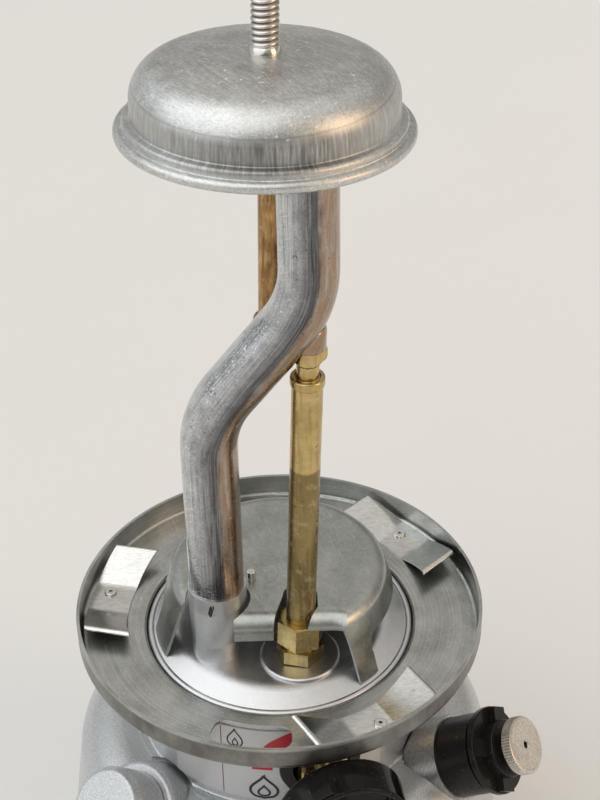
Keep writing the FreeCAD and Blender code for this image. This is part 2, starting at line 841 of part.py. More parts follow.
def pump_knob():
    low = "pump_knob_face - pump_knob_thickness"
    hub = f"{low} - pump_knob_hub_length"
    return turned("pump_knob", "pump_frame", [
        ("rod_radius + fit", hub),
        ("pump_knob_hub_radius", hub),
        ("pump_knob_hub_radius", low),
        ("pump_knob_radius", low, "pump_knob_round"),
        ("pump_knob_radius", "pump_knob_face", "pump_knob_round"),
        ("pump_knob_vent", "pump_knob_face"),
        ("pump_knob_vent", "rod_end_rise + fit"),
        ("rod_radius + fit", "rod_end_rise + fit"),
    ])


def collar():
    inner = "collar_radius - collar_sheet"
    seat = "ledge_radius + ledge_slope + rest_sheet / 2 + fit"
    wall = turned("collar_wall", "lantern_frame", [
        (seat, "rest_level"),
        ("collar_radius", "rest_level"),
        ("collar_radius", "fount_height + collar_sheet", "collar_sheet"),
        ("collar_radius + collar_foot_width", "fount_height + collar_sheet"),
        ("collar_radius + collar_foot_width", "fount_height"),
        (inner, "fount_height", "collar_sheet"),
        (inner, "rest_level - collar_sheet"),
        (seat, "rest_level - collar_sheet"),
    ])
    outside = "2 * fount_shoulder_round"
    return cut("collar", wall,
               rod("collar_filler_notch", "filler_frame", "filler_seat_root_radius + collar_notch_gap",
                   "0", outside),
               rod("collar_mouth_notch", "pump_frame", "mouth_radius + collar_notch_gap",
                   "-mouth_depth - collar_notch_gap", outside),
               rod("collar_cylinder_notch", "pump_frame", "cylinder_radius + collar_notch_gap",
                   f"-{outside}", "0"),
               rod("collar_opening", "valve_frame", "grommet_radius + fit", "branch_length",
                   "2 * branch_end"))


def label_plate():
    inner = "collar_radius + fit"
    low = "fount_height + collar_sheet + label_margin"
    high = "rest_level - label_margin"
    wrap = turned("label_wrap", moved("lantern_frame", turn="label_start"), [
        (inner, low),
        (f"{inner} + label_thickness", low),
        (f"{inner} + label_thickness", high),
        (inner, high),
    ], angle="label_span")
    return cut("label_plate", wrap,
               rod("label_opening", "valve_frame", "grommet_radius + grommet_flange + 4 * fit",
                   "branch_length", "2 * branch_end"))


# Rubber ring whose flange follows the collar's curve
def valve_grommet():
    def ring(label, outer):
        tube = rod(label + "_outer", "valve_frame", outer, "branch_length", "2 * branch_end")
        hole = rod(label + "_inner", "valve_frame", "grommet_bore", "0", "3 * branch_end")
        return cut(label, tube, hole)

    def band(label, inner, outer):
        return turned(label, "lantern_frame", [
            (inner, "fount_height"),
            (outer, "fount_height"),
            (outer, "rest_level"),
            (inner, "rest_level"),
        ])

    sleeve = common("grommet_sleeve",
                    ring("grommet_neck", "grommet_radius"),
                    band("grommet_neck_band", "collar_radius - collar_sheet - grommet_inner_depth",
                         "collar_radius + grommet_flange_thickness"))
    flange = common("grommet_flange_ring",
                    ring("grommet_brim", "grommet_radius + grommet_flange"),
                    band("grommet_brim_band", "collar_radius + fit",
                         "collar_radius + grommet_flange_thickness"))
    return fuse("valve_grommet", sleeve, flange)


def globe_rest():
    under = "ledge_face - rest_sheet"
    step = "ledge_radius + ledge_slope"
    dish = turned("rest_dish", "lantern_frame", [
        ("rim_radius", "rim_level"),
        ("rim_radius", "rest_level", "rest_corner_round"),
        (step, "rest_level", "rest_sheet / 2"),
        ("ledge_radius", under, "rest_sheet"),
        ("lip_radius + rest_sheet", under),
        ("lip_radius + rest_sheet", "ledge_face - lip_height"),
        ("lip_radius", "ledge_face - lip_height"),
        ("lip_radius", "ledge_face", "rest_sheet"),
        ("ledge_radius - rest_sheet", "ledge_face", "rest_sheet / 3"),
        (f"{step} - rest_sheet", "rest_face", "rest_sheet"),
        ("rim_radius - rest_sheet", "rest_face", "rest_corner_round - rest_sheet"),
        ("rim_radius - rest_sheet", "rim_level"),
    ])
    middle = "(window_start + window_end) / 2"

    def corner(radius, angle, *rounding):
        return (f"{radius} * cos({angle})", f"{radius} * sin({angle})", *rounding)

    window = padded("rest_window", moved("lantern_frame", up="rest_level - overrun"), "XY_Plane", [
        corner("window_inner_radius", "window_start", "window_round"),
        corner("window_inner_radius", middle, "window_inner_radius"),
        corner("window_inner_radius", "window_end", "window_round"),
        corner("window_outer_radius", "window_end", "window_round"),
        corner("window_outer_radius", middle, "window_outer_radius"),
        corner("window_outer_radius", "window_start", "window_round"),
    ], "rest_sheet + 2 * overrun")
    drain_frame = moved("lantern_frame", turn="drain_azimuth")
    below = "rest_level - overrun"
    above = "rest_face + overrun"
    half = "drain_length / 2"
    drain = [rod(f"drain_end_{number}",
                 moved(drain_frame, "drain_reach", f"{sign} * {half}"), "drain_radius", below, above)
             for number, sign in ((1, -1), (2, 1))]
    drain.append(block("drain_middle", drain_frame,
                       ("drain_reach - drain_radius", f"-{half}", below),
                       ("drain_reach + drain_radius", half, above)))
    rivets = [rod(f"rivet_hole_{name}", clip_frame(name), "rivet_radius + fit",
                  "-rest_sheet - overrun", "overrun")
              for name in CLIP_HANDS]
    return cut("globe_rest", dish, window, *drain, *rivets)


def clip_frame(name):
    turned_to = moved("lantern_frame", turn=f"clip_{name}_azimuth")
    return moved(turned_to, "clip_reach", "0", "rest_face")


# Leaf spring: flat seat with the rivet, and a wing bent up at each end
def globe_clip(name):
    hand = CLIP_HANDS[name]
    label = f"globe_clip_{name}"
    tip = "clip_rise - clip_curl"

    def at(along, up, *rounding):
        return (f"{hand} * ({along})", up, *rounding)

    corners = [
        at("-clip_wing_long", tip),
        at("-clip_wing_long + clip_curl", "clip_rise", "clip_curl"),
        at("-clip_flat_long", "0", "clip_bend"),
        at("clip_flat_short", "0", "clip_bend"),
        at("clip_wing_short - clip_curl", "clip_rise", "clip_curl"),
        at("clip_wing_short", tip),
        at("clip_wing_short", f"{tip} + clip_sheet"),
        at("clip_wing_short - clip_curl", "clip_rise + clip_sheet", "clip_curl + clip_sheet"),
        at("clip_flat_short - clip_sheet / 4", "clip_sheet",
           "clip_bend - clip_sheet"),
        at("-clip_flat_long + clip_sheet / 4", "clip_sheet", "clip_bend - clip_sheet"),
        at("-clip_wing_long + clip_curl", "clip_rise + clip_sheet", "clip_curl + clip_sheet"),
        at("-clip_wing_long", f"{tip} + clip_sheet"),
    ]
    leaf = padded(label + "_leaf", moved(clip_frame(name), "-2 * clip_inner"), "YZ_Plane", corners,
                  "4 * clip_inner")
    inside = "clip_reach - clip_inner"
    outside = "rim_radius - rest_corner_round - clip_rim_gap"
    band = turned(label + "_band", "lantern_frame", [
        (inside, "rest_level"),
        (outside, "rest_level"),
        (outside, "rim_level"),
        (inside, "rim_level"),
    ])
    return cut(label, common(label + "_curved", leaf, band),
               rod(label + "_hole", clip_frame(name), "rivet_radius + fit", "-overrun",
                   "clip_sheet + overrun"))


def clip_rivets():
    rivets = [turned(f"rivet_{name}", clip_frame(name), [
        ("rivet_bore", "-rest_sheet - rivet_head_height"),
        ("rivet_head_radius", "-rest_sheet - rivet_head_height"),
        ("rivet_head_radius", "-rest_sheet"),
        ("rivet_radius", "-rest_sheet"),
        ("rivet_radius", "clip_sheet"),
        ("rivet_head_radius", "clip_sheet"),
        ("rivet_head_radius", "clip_sheet + rivet_head_height", "rivet_head_height / 2"),
        ("rivet_bore", "clip_sheet + rivet_head_height"),
    ]) for name in CLIP_HANDS]
    return fuse("clip_rivets", *rivets)


# The stub's skin or bore: a straight foot that widens to the socket beside it
def pan_stub(label, foot_radius, top_radius, low, high):
    foot_frame = moved("tube_frame", "-stub_offset")
    waist = "rim_level + stub_waist"
    shoulder = "rim_level + stub_shoulder"
    rings = []
    for name, frame, radius, level in (("waist", foot_frame, foot_radius, waist),
                                       ("shoulder", "tube_frame", top_radius, shoulder)):
        ring = doc.addObject("Part::Circle", f"{label}_{name}")
        ring.setExpression("Radius", bind(radius))
        rings.append(place(ring, moved(frame, up=level)))
    flare = doc.addObject("Part::Loft", label + "_flare")
    flare.Sections = rings
    flare.Solid = True
    return fuse(label, rod(label + "_foot", foot_frame, foot_radius, low, waist), flare,
                rod(label + "_top", "tube_frame", top_radius, shoulder, high))


def inner_pan():
    edge = "pan_face - pan_edge_drop"
    plate = turned("pan_plate", "lantern_frame", [
        ("0", "pan_face"),
        ("pan_flat_radius", "pan_face", "pan_round"),
        ("pan_edge_radius", edge),
        ("pan_edge_radius", f"{edge} - pan_sheet"),
        ("pan_flat_radius - pan_sheet / 4", "pan_under", "pan_round - pan_sheet"),
        ("0", "pan_under"),
    ])
    bead = doc.addObject("Part::Torus", "pan_bead")
    bead.setExpression("Radius1", bind("bead_reach"))
    bead.setExpression("Radius2", bind("bead_radius"))
    place(bead, moved("lantern_frame", up="bead_level"))
    boss_frame = moved("lantern_frame", "generator_x", "generator_y")
    boss = turned("pan_boss", boss_frame, [
        ("0", "boss_face"),
        ("boss_radius", "boss_face", "boss_round"),
        ("boss_radius", "pan_under"),
        ("0", "pan_under"),
    ])
    stub = pan_stub("pan_stub", "stub_radius", "socket_radius", "pan_under", "rim_level + stub_lip")
    return cut("inner_pan", fuse("pan_joined", plate, bead, boss, stub),
               rod("pan_boss_hollow", boss_frame, "boss_radius - pan_sheet", "pan_under - overrun",
                   "boss_face - pan_sheet"),
               rod("pan_valve_hole", "generator_frame", "valve_neck_radius + running_gap",
                   "-pan_sheet - overrun", "overrun"),
               pan_stub("pan_air_way", "stub_radius - stub_wall", "tube_bore", "pan_under - overrun",
                        "rim_level + stub_lip + overrun"),
               rod("pan_socket", "tube_frame", "tube_radius + fit", "tube_base - fit",
                   "rim_level + stub_lip + overrun"))


def air_tube():
    tube = bent_tube("air_tube_pipe", "tube_radius", "tube_bore")
    return cut("air_tube", tube,
               rod("air_tube_port", "generator_frame", "bushing_radius + fit",
                   "bushing_low - bushing_root", "bushing_high + bushing_root"))


def generator_bushing():
    sleeve = rod("bushing_sleeve", "generator_frame", "bushing_radius", "bushing_low",
                 "bushing_high + bushing_lead")
    bead = turned("bushing_bead", "generator_frame", [
        ("0", "bushing_low"),
        ("bushing_bead_radius", "bushing_low", "(bushing_high - bushing_low) / 4"),
        ("bushing_bead_radius", "bushing_high", "(bushing_high - bushing_low) / 4"),
        ("0", "bushing_high"),
    ])
    proud = cut("bushing_proud", bead, bent_tube("bushing_clearance", "tube_radius + fit"))
    return cut("generator_bushing", fuse("bushing_solid", sleeve, proud),
               rod("bushing_bore", "generator_frame", "generator_neck_radius + fit",
                   "bushing_low - overrun", "bushing_high + bushing_lead + overrun"))


def frame_nut():
    blank = hexagon("frame_nut_blank", "generator_frame", "frame_nut_radius", "frame_nut_gap",
                    "nut_collar_low", "frame_nut_turn")
    return cut("frame_nut", blank,
               rod("frame_nut_bore", "generator_frame", "valve_neck_radius + fit", "0",
                   "nut_collar_low + overrun"))


def generator_nut():
    blank = hexagon("generator_nut_blank", "generator_frame", "nut_radius", "nut_low", "nut_high",
                    "generator_nut_turn")
    chamfer = turned("generator_nut_chamfer_cone", "generator_frame", [
        ("0", "nut_low"),
        ("nut_radius", "nut_low"),
        ("nut_radius", "nut_high - generator_nut_chamfer / 2"),
        ("generator_nut_flats / 2 - generator_nut_chamfer / 4", "nut_high"),
        ("0", "nut_high"),
    ])
    skirt = rod("generator_nut_skirt", "generator_frame", "generator_nut_collar_radius",
                "nut_collar_low + fit", "nut_low + overrun")
    flange_top = "generator_low + generator_flange_thickness + fit"
    return cut("generator_nut",
               fuse("generator_nut_solid", common("generator_nut_hex", blank, chamfer), skirt),
               rod("generator_nut_thread", "generator_frame", "valve_neck_radius + fit", "0", flange_top),
               rod("generator_nut_bore", "generator_frame", "generator_radius + fit", "0",
                   "nut_high + overrun"))


def generator_tube():
    flange_top = "generator_low + generator_flange_thickness"
    return turned("generator_tube", "generator_frame", [
        ("generator_bore", "generator_low"),
        ("valve_neck_radius", "generator_low"),
        ("valve_neck_radius", flange_top),
        ("generator_radius", flange_top),
        ("generator_radius", "generator_top"),
        ("generator_bead_radius", "generator_top", "generator_bead_height / 5"),
        ("generator_bead_radius", "generator_head", "generator_bead_height / 5"),
        ("generator_bore", "generator_head"),
    ])


def generator_neck():
    tip = "generator_neck_top - generator_jet_radius"
    return turned("generator_neck", "generator_frame", [
        ("generator_jet_radius", "neck_root"),
        ("generator_bore - fit", "neck_root"),
        ("generator_bore - fit", "generator_head", "generator_jet_radius / 2"),
        ("generator_neck_radius", "generator_head"),
        ("generator_neck_radius", tip),
        ("generator_neck_radius - generator_jet_radius", "generator_neck_top"),
        ("generator_jet_radius", "generator_neck_top"),
    ])


# Needle with the slotted yoke that the stem's crank pin lifts
def cleaning_needle():
    yoke = rod("needle_yoke", "generator_frame", "yoke_radius", "yoke_low", "yoke_low + yoke_height")
    wire = rod("needle_wire", "generator_frame", "needle_radius", "yoke_low + yoke_height - overrun",
               "generator_neck_top - needle_lift - generator_jet_radius")
    slot = block("needle_slot", moved("valve_frame", "crank_throw"),
                 ("-yoke_slot_height / 2", "-yoke_slot_width / 2", "-crank_radius - yoke_radius / 2"),
                 ("yoke_slot_height / 2", "yoke_slot_width / 2", "2 * yoke_radius"))
    return cut("cleaning_needle", fuse("needle_solid", yoke, wire), slot)


def valve_body():
    barrel = turned("valve_barrel", "generator_frame", [
        ("0", "shank_low"),
        ("barrel_shank_radius", "shank_low"),
        ("barrel_shank_radius", "barrel_low"),
        ("barrel_flange_radius", "barrel_low"),
        ("barrel_flange_radius", "barrel_low + barrel_flange_thickness"),
        ("barrel_radius", "barrel_low + barrel_flange_thickness"),
        ("barrel_radius", "-barrel_shoulder_gap"),
        ("valve_neck_radius", "-barrel_shoulder_gap"),
        ("valve_neck_radius", "valve_neck_rise"),
        ("0", "valve_neck_rise"),
    ])
    branch = turned("valve_branch", "valve_frame", [
        ("0", "0"),
        ("branch_radius", "0"),
        ("branch_radius", "branch_length"),
        ("branch_thread_radius", "branch_length"),
        ("branch_thread_radius", "branch_end"),
        ("0", "branch_end"),
    ])
    return cut("valve_body", fuse("valve_solid", barrel, branch),
               rod("valve_fuel_way", "generator_frame", "valve_bore", "shank_low - overrun",
                   "valve_neck_rise + overrun"),
               rod("valve_chamber", "generator_frame", "chamber_radius",
                   "-valve_drop - chamber_low", "-valve_drop + chamber_high"),
               rod("valve_pickup_socket", "generator_frame", "pickup_radius + fit",
                   "shank_low - overrun", "pickup_high + fit"),
               rod("valve_stem_way", "valve_frame", "valve_stem_radius + fit", "0",
                   "branch_end + overrun"),
               rod("valve_packing_pocket", "valve_frame", "packing_radius + fit", "packing_start",
                   "branch_end + overrun"))


def fuel_pickup_tube():
    return turned("fuel_pickup_tube", "generator_frame", [
        ("pickup_radius - pickup_wall", "pickup_low"),
        ("pickup_radius", "pickup_low"),
        ("pickup_radius", "pickup_high"),
        ("pickup_radius - pickup_wall", "pickup_high"),
    ])


def packing():
    return turned("packing", "valve_frame", [
        ("valve_stem_radius + fit", "packing_start + fit"),
        ("packing_radius", "packing_start + fit"),
        ("packing_radius", "branch_end"),
        ("valve_stem_radius + fit", "branch_end"),
    ])


def packing_nut():
    end = "packing_nut_start + packing_nut_length"
    blank = hexagon("packing_nut_blank", "valve_frame", "packing_nut_radius", "packing_nut_start", end)
    chamfer = turned("packing_nut_cone", "valve_frame", [
        ("0", "packing_nut_start"),
        ("packing_nut_radius", "packing_nut_start"),
        ("packing_nut_radius", f"{end} - packing_nut_chamfer"),
        ("packing_nut_radius - 2 * packing_nut_chamfer", end),
        ("0", end),
    ])
    return cut("packing_nut", common("packing_nut_hex", blank, chamfer),
               rod("packing_nut_thread", "valve_frame", "branch_thread_radius + fit", "0",
                   "branch_end + fit"),
               rod("packing_nut_bore", "valve_frame", "valve_stem_radius + running_gap", "0",
                   f"{end} + overrun"))


# Stem with a crank pin on its inner end
def valve_stem():
    shaft = rod("stem_shaft", "valve_frame", "valve_stem_radius", "chamber_radius + running_gap",
                "valve_stem_end")
    crank = rod("stem_crank", moved("valve_frame", "crank_throw"), "crank_radius", "-crank_radius",
                "chamber_radius + overrun")
    return cut("valve_stem", fuse("stem_solid", shaft, crank),
               rod("stem_screw_hole", "valve_frame", "knob_screw_radius + fit",
                   "grip_face - knob_screw_length - fit", "valve_stem_end + overrun"))


def valve_knob():
    rim_back = "knob_back + knob_rim_back"
    dish = turned("knob_dish", "valve_frame", [
        ("0", "knob_back"),
        ("knob_hub_radius", "knob_back"),
        ("knob_hub_radius", "knob_back + knob_round"),
        ("knob_radius - knob_rim_back", "knob_back + knob_round"),
        ("knob_radius", rim_back, "knob_round"),
        ("knob_face_radius", "knob_face", "knob_round / 2"),
        ("knob_face_radius - knob_wall", "knob_face", "knob_round / 2"),
        ("knob_face_radius - knob_wall - knob_round", "knob_floor", "knob_round"),
        ("0", "knob_floor"),
    ])
    reach = "knob_face_radius - knob_wall"
    grip = block("knob_grip", moved("valve_frame", turn="grip_turn"),
                 (f"-{reach}", "-grip_width / 2", "knob_floor - knob_round"),
                 (reach, "grip_width / 2", "grip_face"))
    return cut("valve_knob", fuse("knob_solid", dish, grip),
               rod("knob_stem_hole", "valve_frame", "valve_stem_radius + fit",
                   "knob_back - overrun", "valve_stem_end + fit"),
               rod("knob_screw_hole", "valve_frame", "knob_screw_radius + fit", "knob_back",
                   "knob_face + overrun"))


def knob_screw():
    return turned("knob_screw", "valve_frame", [
        ("0", "grip_face - knob_screw_length"),
        ("knob_screw_radius", "grip_face - knob_screw_length"),
        ("knob_screw_radius", "grip_face"),
        ("knob_screw_head_radius", "grip_face"),
        ("knob_screw_head_radius", "grip_face + knob_screw_head_height", "knob_screw_head_height / 2"),
        ("0", "grip_face + knob_screw_head_height"),
    ])


# Drawn cup over the pan, cut away in front for the tube and the generator
def heat_shield():
    def cup(label, offset):
        foot = "shield_foot - overrun"
        return turned(label, "lantern_frame", [
            ("0", f"shield_face - {offset}"),
            (f"shield_top_radius - {offset}", f"shield_face - {offset}",
             f"shield_shoulder_round - {offset}"),
            (f"shield_foot_radius - {offset}", "shield_foot"),
            (f"shield_foot_radius - {offset}", foot),
            ("0", foot),
        ])

    far = "2 * shield_foot_radius"

    def front(label, offset):
        level = "shield_foot - 2 * overrun"
        run_x = "8 * (shield_leg_foot_x - shield_leg_x)"
        run_y = "8 * (shield_leg_foot_y - shield_front_y)"
        slab = padded(label, moved("lantern_frame", up=level), "XY_Plane", [
            (f"-{far}", f"shield_front_y + {offset}"),
            (f"shield_leg_x + {offset} / 2", f"shield_front_y + {offset}", "shield_corner_round"),
            (f"shield_leg_x + {offset} / 2 + {run_x}", f"shield_front_y + {offset} + {run_y}"),
            (f"2 * {far}", f"shield_front_y + {offset} + {run_y}"),
            (f"2 * {far}", far),
            (f"-{far}", far),
        ], f"shield_face - {offset} - ({level})")
        doc.recompute()
        pad = slab.Tip
        top = max(range(len(pad.Shape.Faces)), key=lambda n: pad.Shape.Faces[n].CenterOfMass.z)
        bend = slab.newObject("PartDesign::Fillet", label + "_bend")
        bend.Base = (pad, [f"Face{top + 1}"])
        bend.setExpression("Radius", bind(f"shield_bend_round - {offset}"))
        return slab

    solid = common("shield_outside", cup("shield_cup", "0"), front("shield_front", "0"))
    hollow = common("shield_inside", cup("shield_cup_inside", "shield_sheet"),
                    front("shield_front_inside", "shield_sheet"))
    low = "shield_foot - 3 * overrun"
    high = "shield_face + overrun"
    arch = "rest_face + shield_arch_level"
    shell = cut("shield_shell", solid, hollow)
    for side, low_x, high_x in (("tongue", f"-{far}", "shield_notch_x"),
                                ("lobe", "shield_notch_x", far)):
        space = block(f"shield_{side}_space", "lantern_frame", (low_x, f"-{far}", low),
                      (high_x, "shield_notch_y", f"rest_face + shield_{side}_edge"))
        inside = common(f"shield_{side}_trim", cup(f"shield_{side}_cup", "shield_sheet"), space)
        shell = cut(f"shield_{side}_shell", shell, inside)
    tools = [
        block("shield_foot_trim", "lantern_frame", (f"-{far}", f"-{far}", low),
              (far, far, "shield_foot")),
        rod("shield_notch_end", moved("lantern_frame", "shield_notch_x", "shield_notch_y"),
            "shield_notch_radius", low, high),
        padded("shield_notch", moved("lantern_frame", up=low), "XY_Plane", [
            ("shield_notch_x + shield_notch_radius", "shield_notch_y"),
            ("shield_notch_x - shield_notch_radius", "shield_notch_y"),
            ("shield_notch_left_x", "shield_front_y"),
            ("shield_notch_left_x", f"-{far}"),
            ("shield_notch_right_x", f"-{far}"),
            ("shield_notch_right_x", "shield_front_y"),
            ("shield_notch_x + shield_notch_radius", "shield_notch_turn_y"),
        ], f"{high} - ({low})"),
        rod("shield_tube_notch", "tube_frame", "socket_radius + shield_tube_gap", low, high),
        block("shield_tube_side", "lantern_frame", (f"-{far}", f"-{far}", low),
              ("shield_tube_side_x", "tube_y", high)),
        rod("shield_screw_hole", moved("lantern_frame", "shield_screw_x", "shield_screw_y"),
            "shield_screw_radius + fit", low, high),
    ]
    inset = "deg_per_rad * shield_arch_round / shield_foot_radius"
    for name in ("right", "back"):
        start = f"shield_arch_{name}_start"
        end = f"shield_arch_{name}_end"
        tools.append(rod(f"shield_arch_{name}_low", moved("lantern_frame", turn=start), far, low,
                         f"{arch} - shield_arch_round", angle=f"{end} - {start}"))
        tools.append(rod(f"shield_arch_{name}_high",
                         moved("lantern_frame", turn=f"{start} + {inset}"), far, low, arch,
                         angle=f"{end} - {start} - 2 * {inset}"))
        for side, turn in (("first", f"{start} + {inset}"), ("last", f"{end} - {inset}")):
            frame = (moved("lantern_frame", up=f"{arch} - shield_arch_round", turn=turn)
                     + " * placement(vector(0; 0; 0); rotation(0; 90; 0))")
            tools.append(rod(f"shield_arch_{name}_{side}", frame, "shield_arch_round",
                             "shield_top_radius / 2", far))
    return cut("heat_shield", shell, *tools)


def shield_screw():
    frame = moved("lantern_frame", "shield_screw_x", "shield_screw_y")
    return turned("shield_screw", frame, [
        ("0", "shield_face - shield_sheet - shield_screw_depth"),
        ("shield_screw_radius + shield_sheet", "shield_face - shield_sheet - shield_screw_depth"),
        ("shield_screw_radius + shield_sheet", "shield_face - shield_sheet"),
        ("shield_screw_radius", "shield_face - shield_sheet"),
        ("shield_screw_radius", "shield_face + shield_screw_rise", "shield_screw_radius / 4"),
        ("0", "shield_face + shield_screw_rise"),
    ])


def burner_dome():
    hole = "stud_radius + fit"
    inner = "dome_radius - dome_sheet"
    shoulder = "dome_height - dome_crown_drop"
    bead = "dome_bead_level"
    rim_top = "dome_rim_height"
    return turned("burner_dome", "dome_frame", [
        (hole, "dome_height"),
        ("dome_crown_flat", "dome_height", "dome_crown_round"),
        ("dome_radius", shoulder, "dome_shoulder_round"),
        ("dome_radius", bead, "dome_bead_round / 2"),
        ("dome_bead_radius", f"{bead} - dome_bead_round / 2", "dome_bead_round"),
        ("dome_bead_radius", rim_top, "dome_bead_round / 4"),
        ("dome_rim_radius", rim_top, "dome_rim_round"),
        ("dome_rim_radius", "0", "dome_rim_round"),
        ("dome_rim_radius - dome_rim_wall", "0"),
        ("dome_rim_radius - dome_rim_wall", "dome_sheet + fit"),
        (inner, "dome_sheet + fit"),
        (inner, f"{shoulder} - dome_sheet", "dome_shoulder_round - dome_sheet"),
        ("dome_crown_flat", "dome_under", "dome_crown_round"),
        (hole, "dome_under"),
    ])


def burner_base():
    plate = rod("base_plate", "dome_frame", "dome_rim_radius - dome_rim_wall - fit", "0", "dome_sheet")
    return cut("burner_base", plate,
               rod("base_tube_hole", moved("tube_frame", "tube_offset"), "tube_radius + fit",
                   "dome_base - 4 * overrun", "dome_base + 6 * overrun"),
               rod("base_burner_hole", "burner_frame", "burner_radius + fit", "-overrun",
                   "dome_sheet + overrun"))


def burner_tube():
    bead_low = "burner_low + tie_bead_rise"
    bead_high = f"{bead_low} + tie_bead_height"
    bore = "burner_radius - burner_wall"
    return turned("burner_tube", "burner_frame", [
        (bore, "burner_low"),
        ("burner_radius", "burner_low"),
        ("burner_radius", bead_low),
        ("tie_bead_radius", bead_low, "tie_bead_height / 3"),
        ("tie_bead_radius", bead_high, "tie_bead_height / 3"),
        ("burner_radius", bead_high),
        ("burner_radius", "burner_top"),
        (bore, "burner_top"),
    ])


def burner_screen():
    rim = "burner_radius - burner_wall - fit"
    return turned("burner_screen", "burner_frame", [
        ("0", "burner_low + fit"),
        (rim, "burner_low + fit", "screen_thickness * 2"),
        (rim, "burner_low + screen_lip"),
        (f"{rim} - screen_thickness", "burner_low + screen_lip"),
        (f"{rim} - screen_thickness", "burner_low + fit + screen_thickness", "screen_thickness"),
        ("0", "burner_low + fit + screen_thickness"),
    ])


def threaded_stud():
    foot = "dome_height + fit"
    top = "dome_height + stud_rise"
    return turned("threaded_stud", "dome_frame", [
        ("0", "dome_height - stud_depth"),
        ("stud_radius", "dome_height - stud_depth"),
        ("stud_radius", foot),
        ("stud_foot_radius", foot),
        ("stud_foot_radius", f"{foot} + stud_foot_height / 3"),
        ("stud_radius", f"{foot} + stud_foot_height"),
        ("stud_radius", f"{top} - stud_point"),
        ("stud_radius - stud_point", top),
        ("0", top),
    ])


def stud_nut():
    high = "dome_under - stud_nut_gap"
    blank = hexagon("stud_nut_blank", "dome_frame", "stud_nut_radius", f"{high} - stud_nut_height", high)
    return cut("stud_nut", blank,
               rod("stud_nut_bore", "dome_frame", "stud_radius + fit", "dome_height - stud_depth",
                   "dome_height"))


NODES = [
    fount_shell(), fount_bottom(), filler_neck(), filler_gasket(), cap_insert(), filler_cap(),
    pump_cylinder(), check_valve(), check_ball(), air_stem(), pump_rod(), pump_cup(), cup_retainer(),
    pump_cap(), pump_knob(), collar(), label_plate(), valve_grommet(), globe_rest(), inner_pan(),
    air_tube(), generator_bushing(), frame_nut(), generator_nut(), generator_tube(), generator_neck(),
    cleaning_needle(), valve_body(), fuel_pickup_tube(), packing(), packing_nut(), valve_stem(),
    valve_knob(), knob_screw(), heat_shield(), shield_screw(), clip_rivets(), burner_dome(),
    burner_base(), burner_tube(), burner_screen(), threaded_stud(), stud_nut(),
]
NODES += [globe_clip(name) for name in CLIP_HANDS]

doc.recompute()
for item in doc.Objects:
    if "Invalid" in item.State or "Error" in item.State:
        raise RuntimeError(f"{item.Label} failed: {item.State}")
for node in NODES:
    if node.Shape.isNull() or not node.Shape.isValid():
        raise RuntimeError(f"{node.Label} has no valid shape")

os.makedirs("parts", exist_ok=True)
for node in NODES:
    node.Shape.exportStep(f"parts/{node.Label}.step")
    print(f"{node.Label}: {len(node.Shape.Solids)} solids, {node.Shape.Volume:.1f} mm3")
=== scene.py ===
import json
import math

import bmesh
import bpy
from mathutils import Matrix, Vector


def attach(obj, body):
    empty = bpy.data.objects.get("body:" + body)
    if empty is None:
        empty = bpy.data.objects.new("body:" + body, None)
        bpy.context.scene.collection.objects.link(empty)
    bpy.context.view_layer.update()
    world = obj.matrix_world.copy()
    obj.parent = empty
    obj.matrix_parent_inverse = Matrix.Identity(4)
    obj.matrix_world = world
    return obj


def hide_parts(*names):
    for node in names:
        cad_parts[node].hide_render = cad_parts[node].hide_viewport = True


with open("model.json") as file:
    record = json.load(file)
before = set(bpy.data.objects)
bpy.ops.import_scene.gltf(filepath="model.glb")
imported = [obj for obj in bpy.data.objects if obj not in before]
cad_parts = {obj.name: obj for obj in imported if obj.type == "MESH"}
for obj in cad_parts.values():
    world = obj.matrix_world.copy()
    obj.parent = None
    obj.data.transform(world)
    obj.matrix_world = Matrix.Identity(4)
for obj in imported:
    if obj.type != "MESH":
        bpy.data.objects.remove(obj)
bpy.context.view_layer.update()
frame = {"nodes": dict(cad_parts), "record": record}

parts = frame["nodes"]
mm = 0.001
print("frame:", len(parts), "nodes")


# A node's output, written as a number in sums
class Wire:
    def __init__(self, maker, socket):
        self.maker = maker
        self.socket = socket

    def __add__(self, other):
        return self.maker.sum("ADD", self, other)

    def __radd__(self, other):
        return self.maker.sum("ADD", other, self)

    def __sub__(self, other):
        return self.maker.sum("SUBTRACT", self, other)

    def __rsub__(self, other):
        return self.maker.sum("SUBTRACT", other, self)

    def __mul__(self, other):
        return self.maker.sum("MULTIPLY", self, other)

    def __rmul__(self, other):
        return self.maker.sum("MULTIPLY", other, self)

    def __truediv__(self, other):
        return self.maker.sum("DIVIDE", self, other)

    def __rtruediv__(self, other):
        return self.maker.sum("DIVIDE", other, self)

    def __pow__(self, other):
        return self.maker.sum("POWER", self, other)


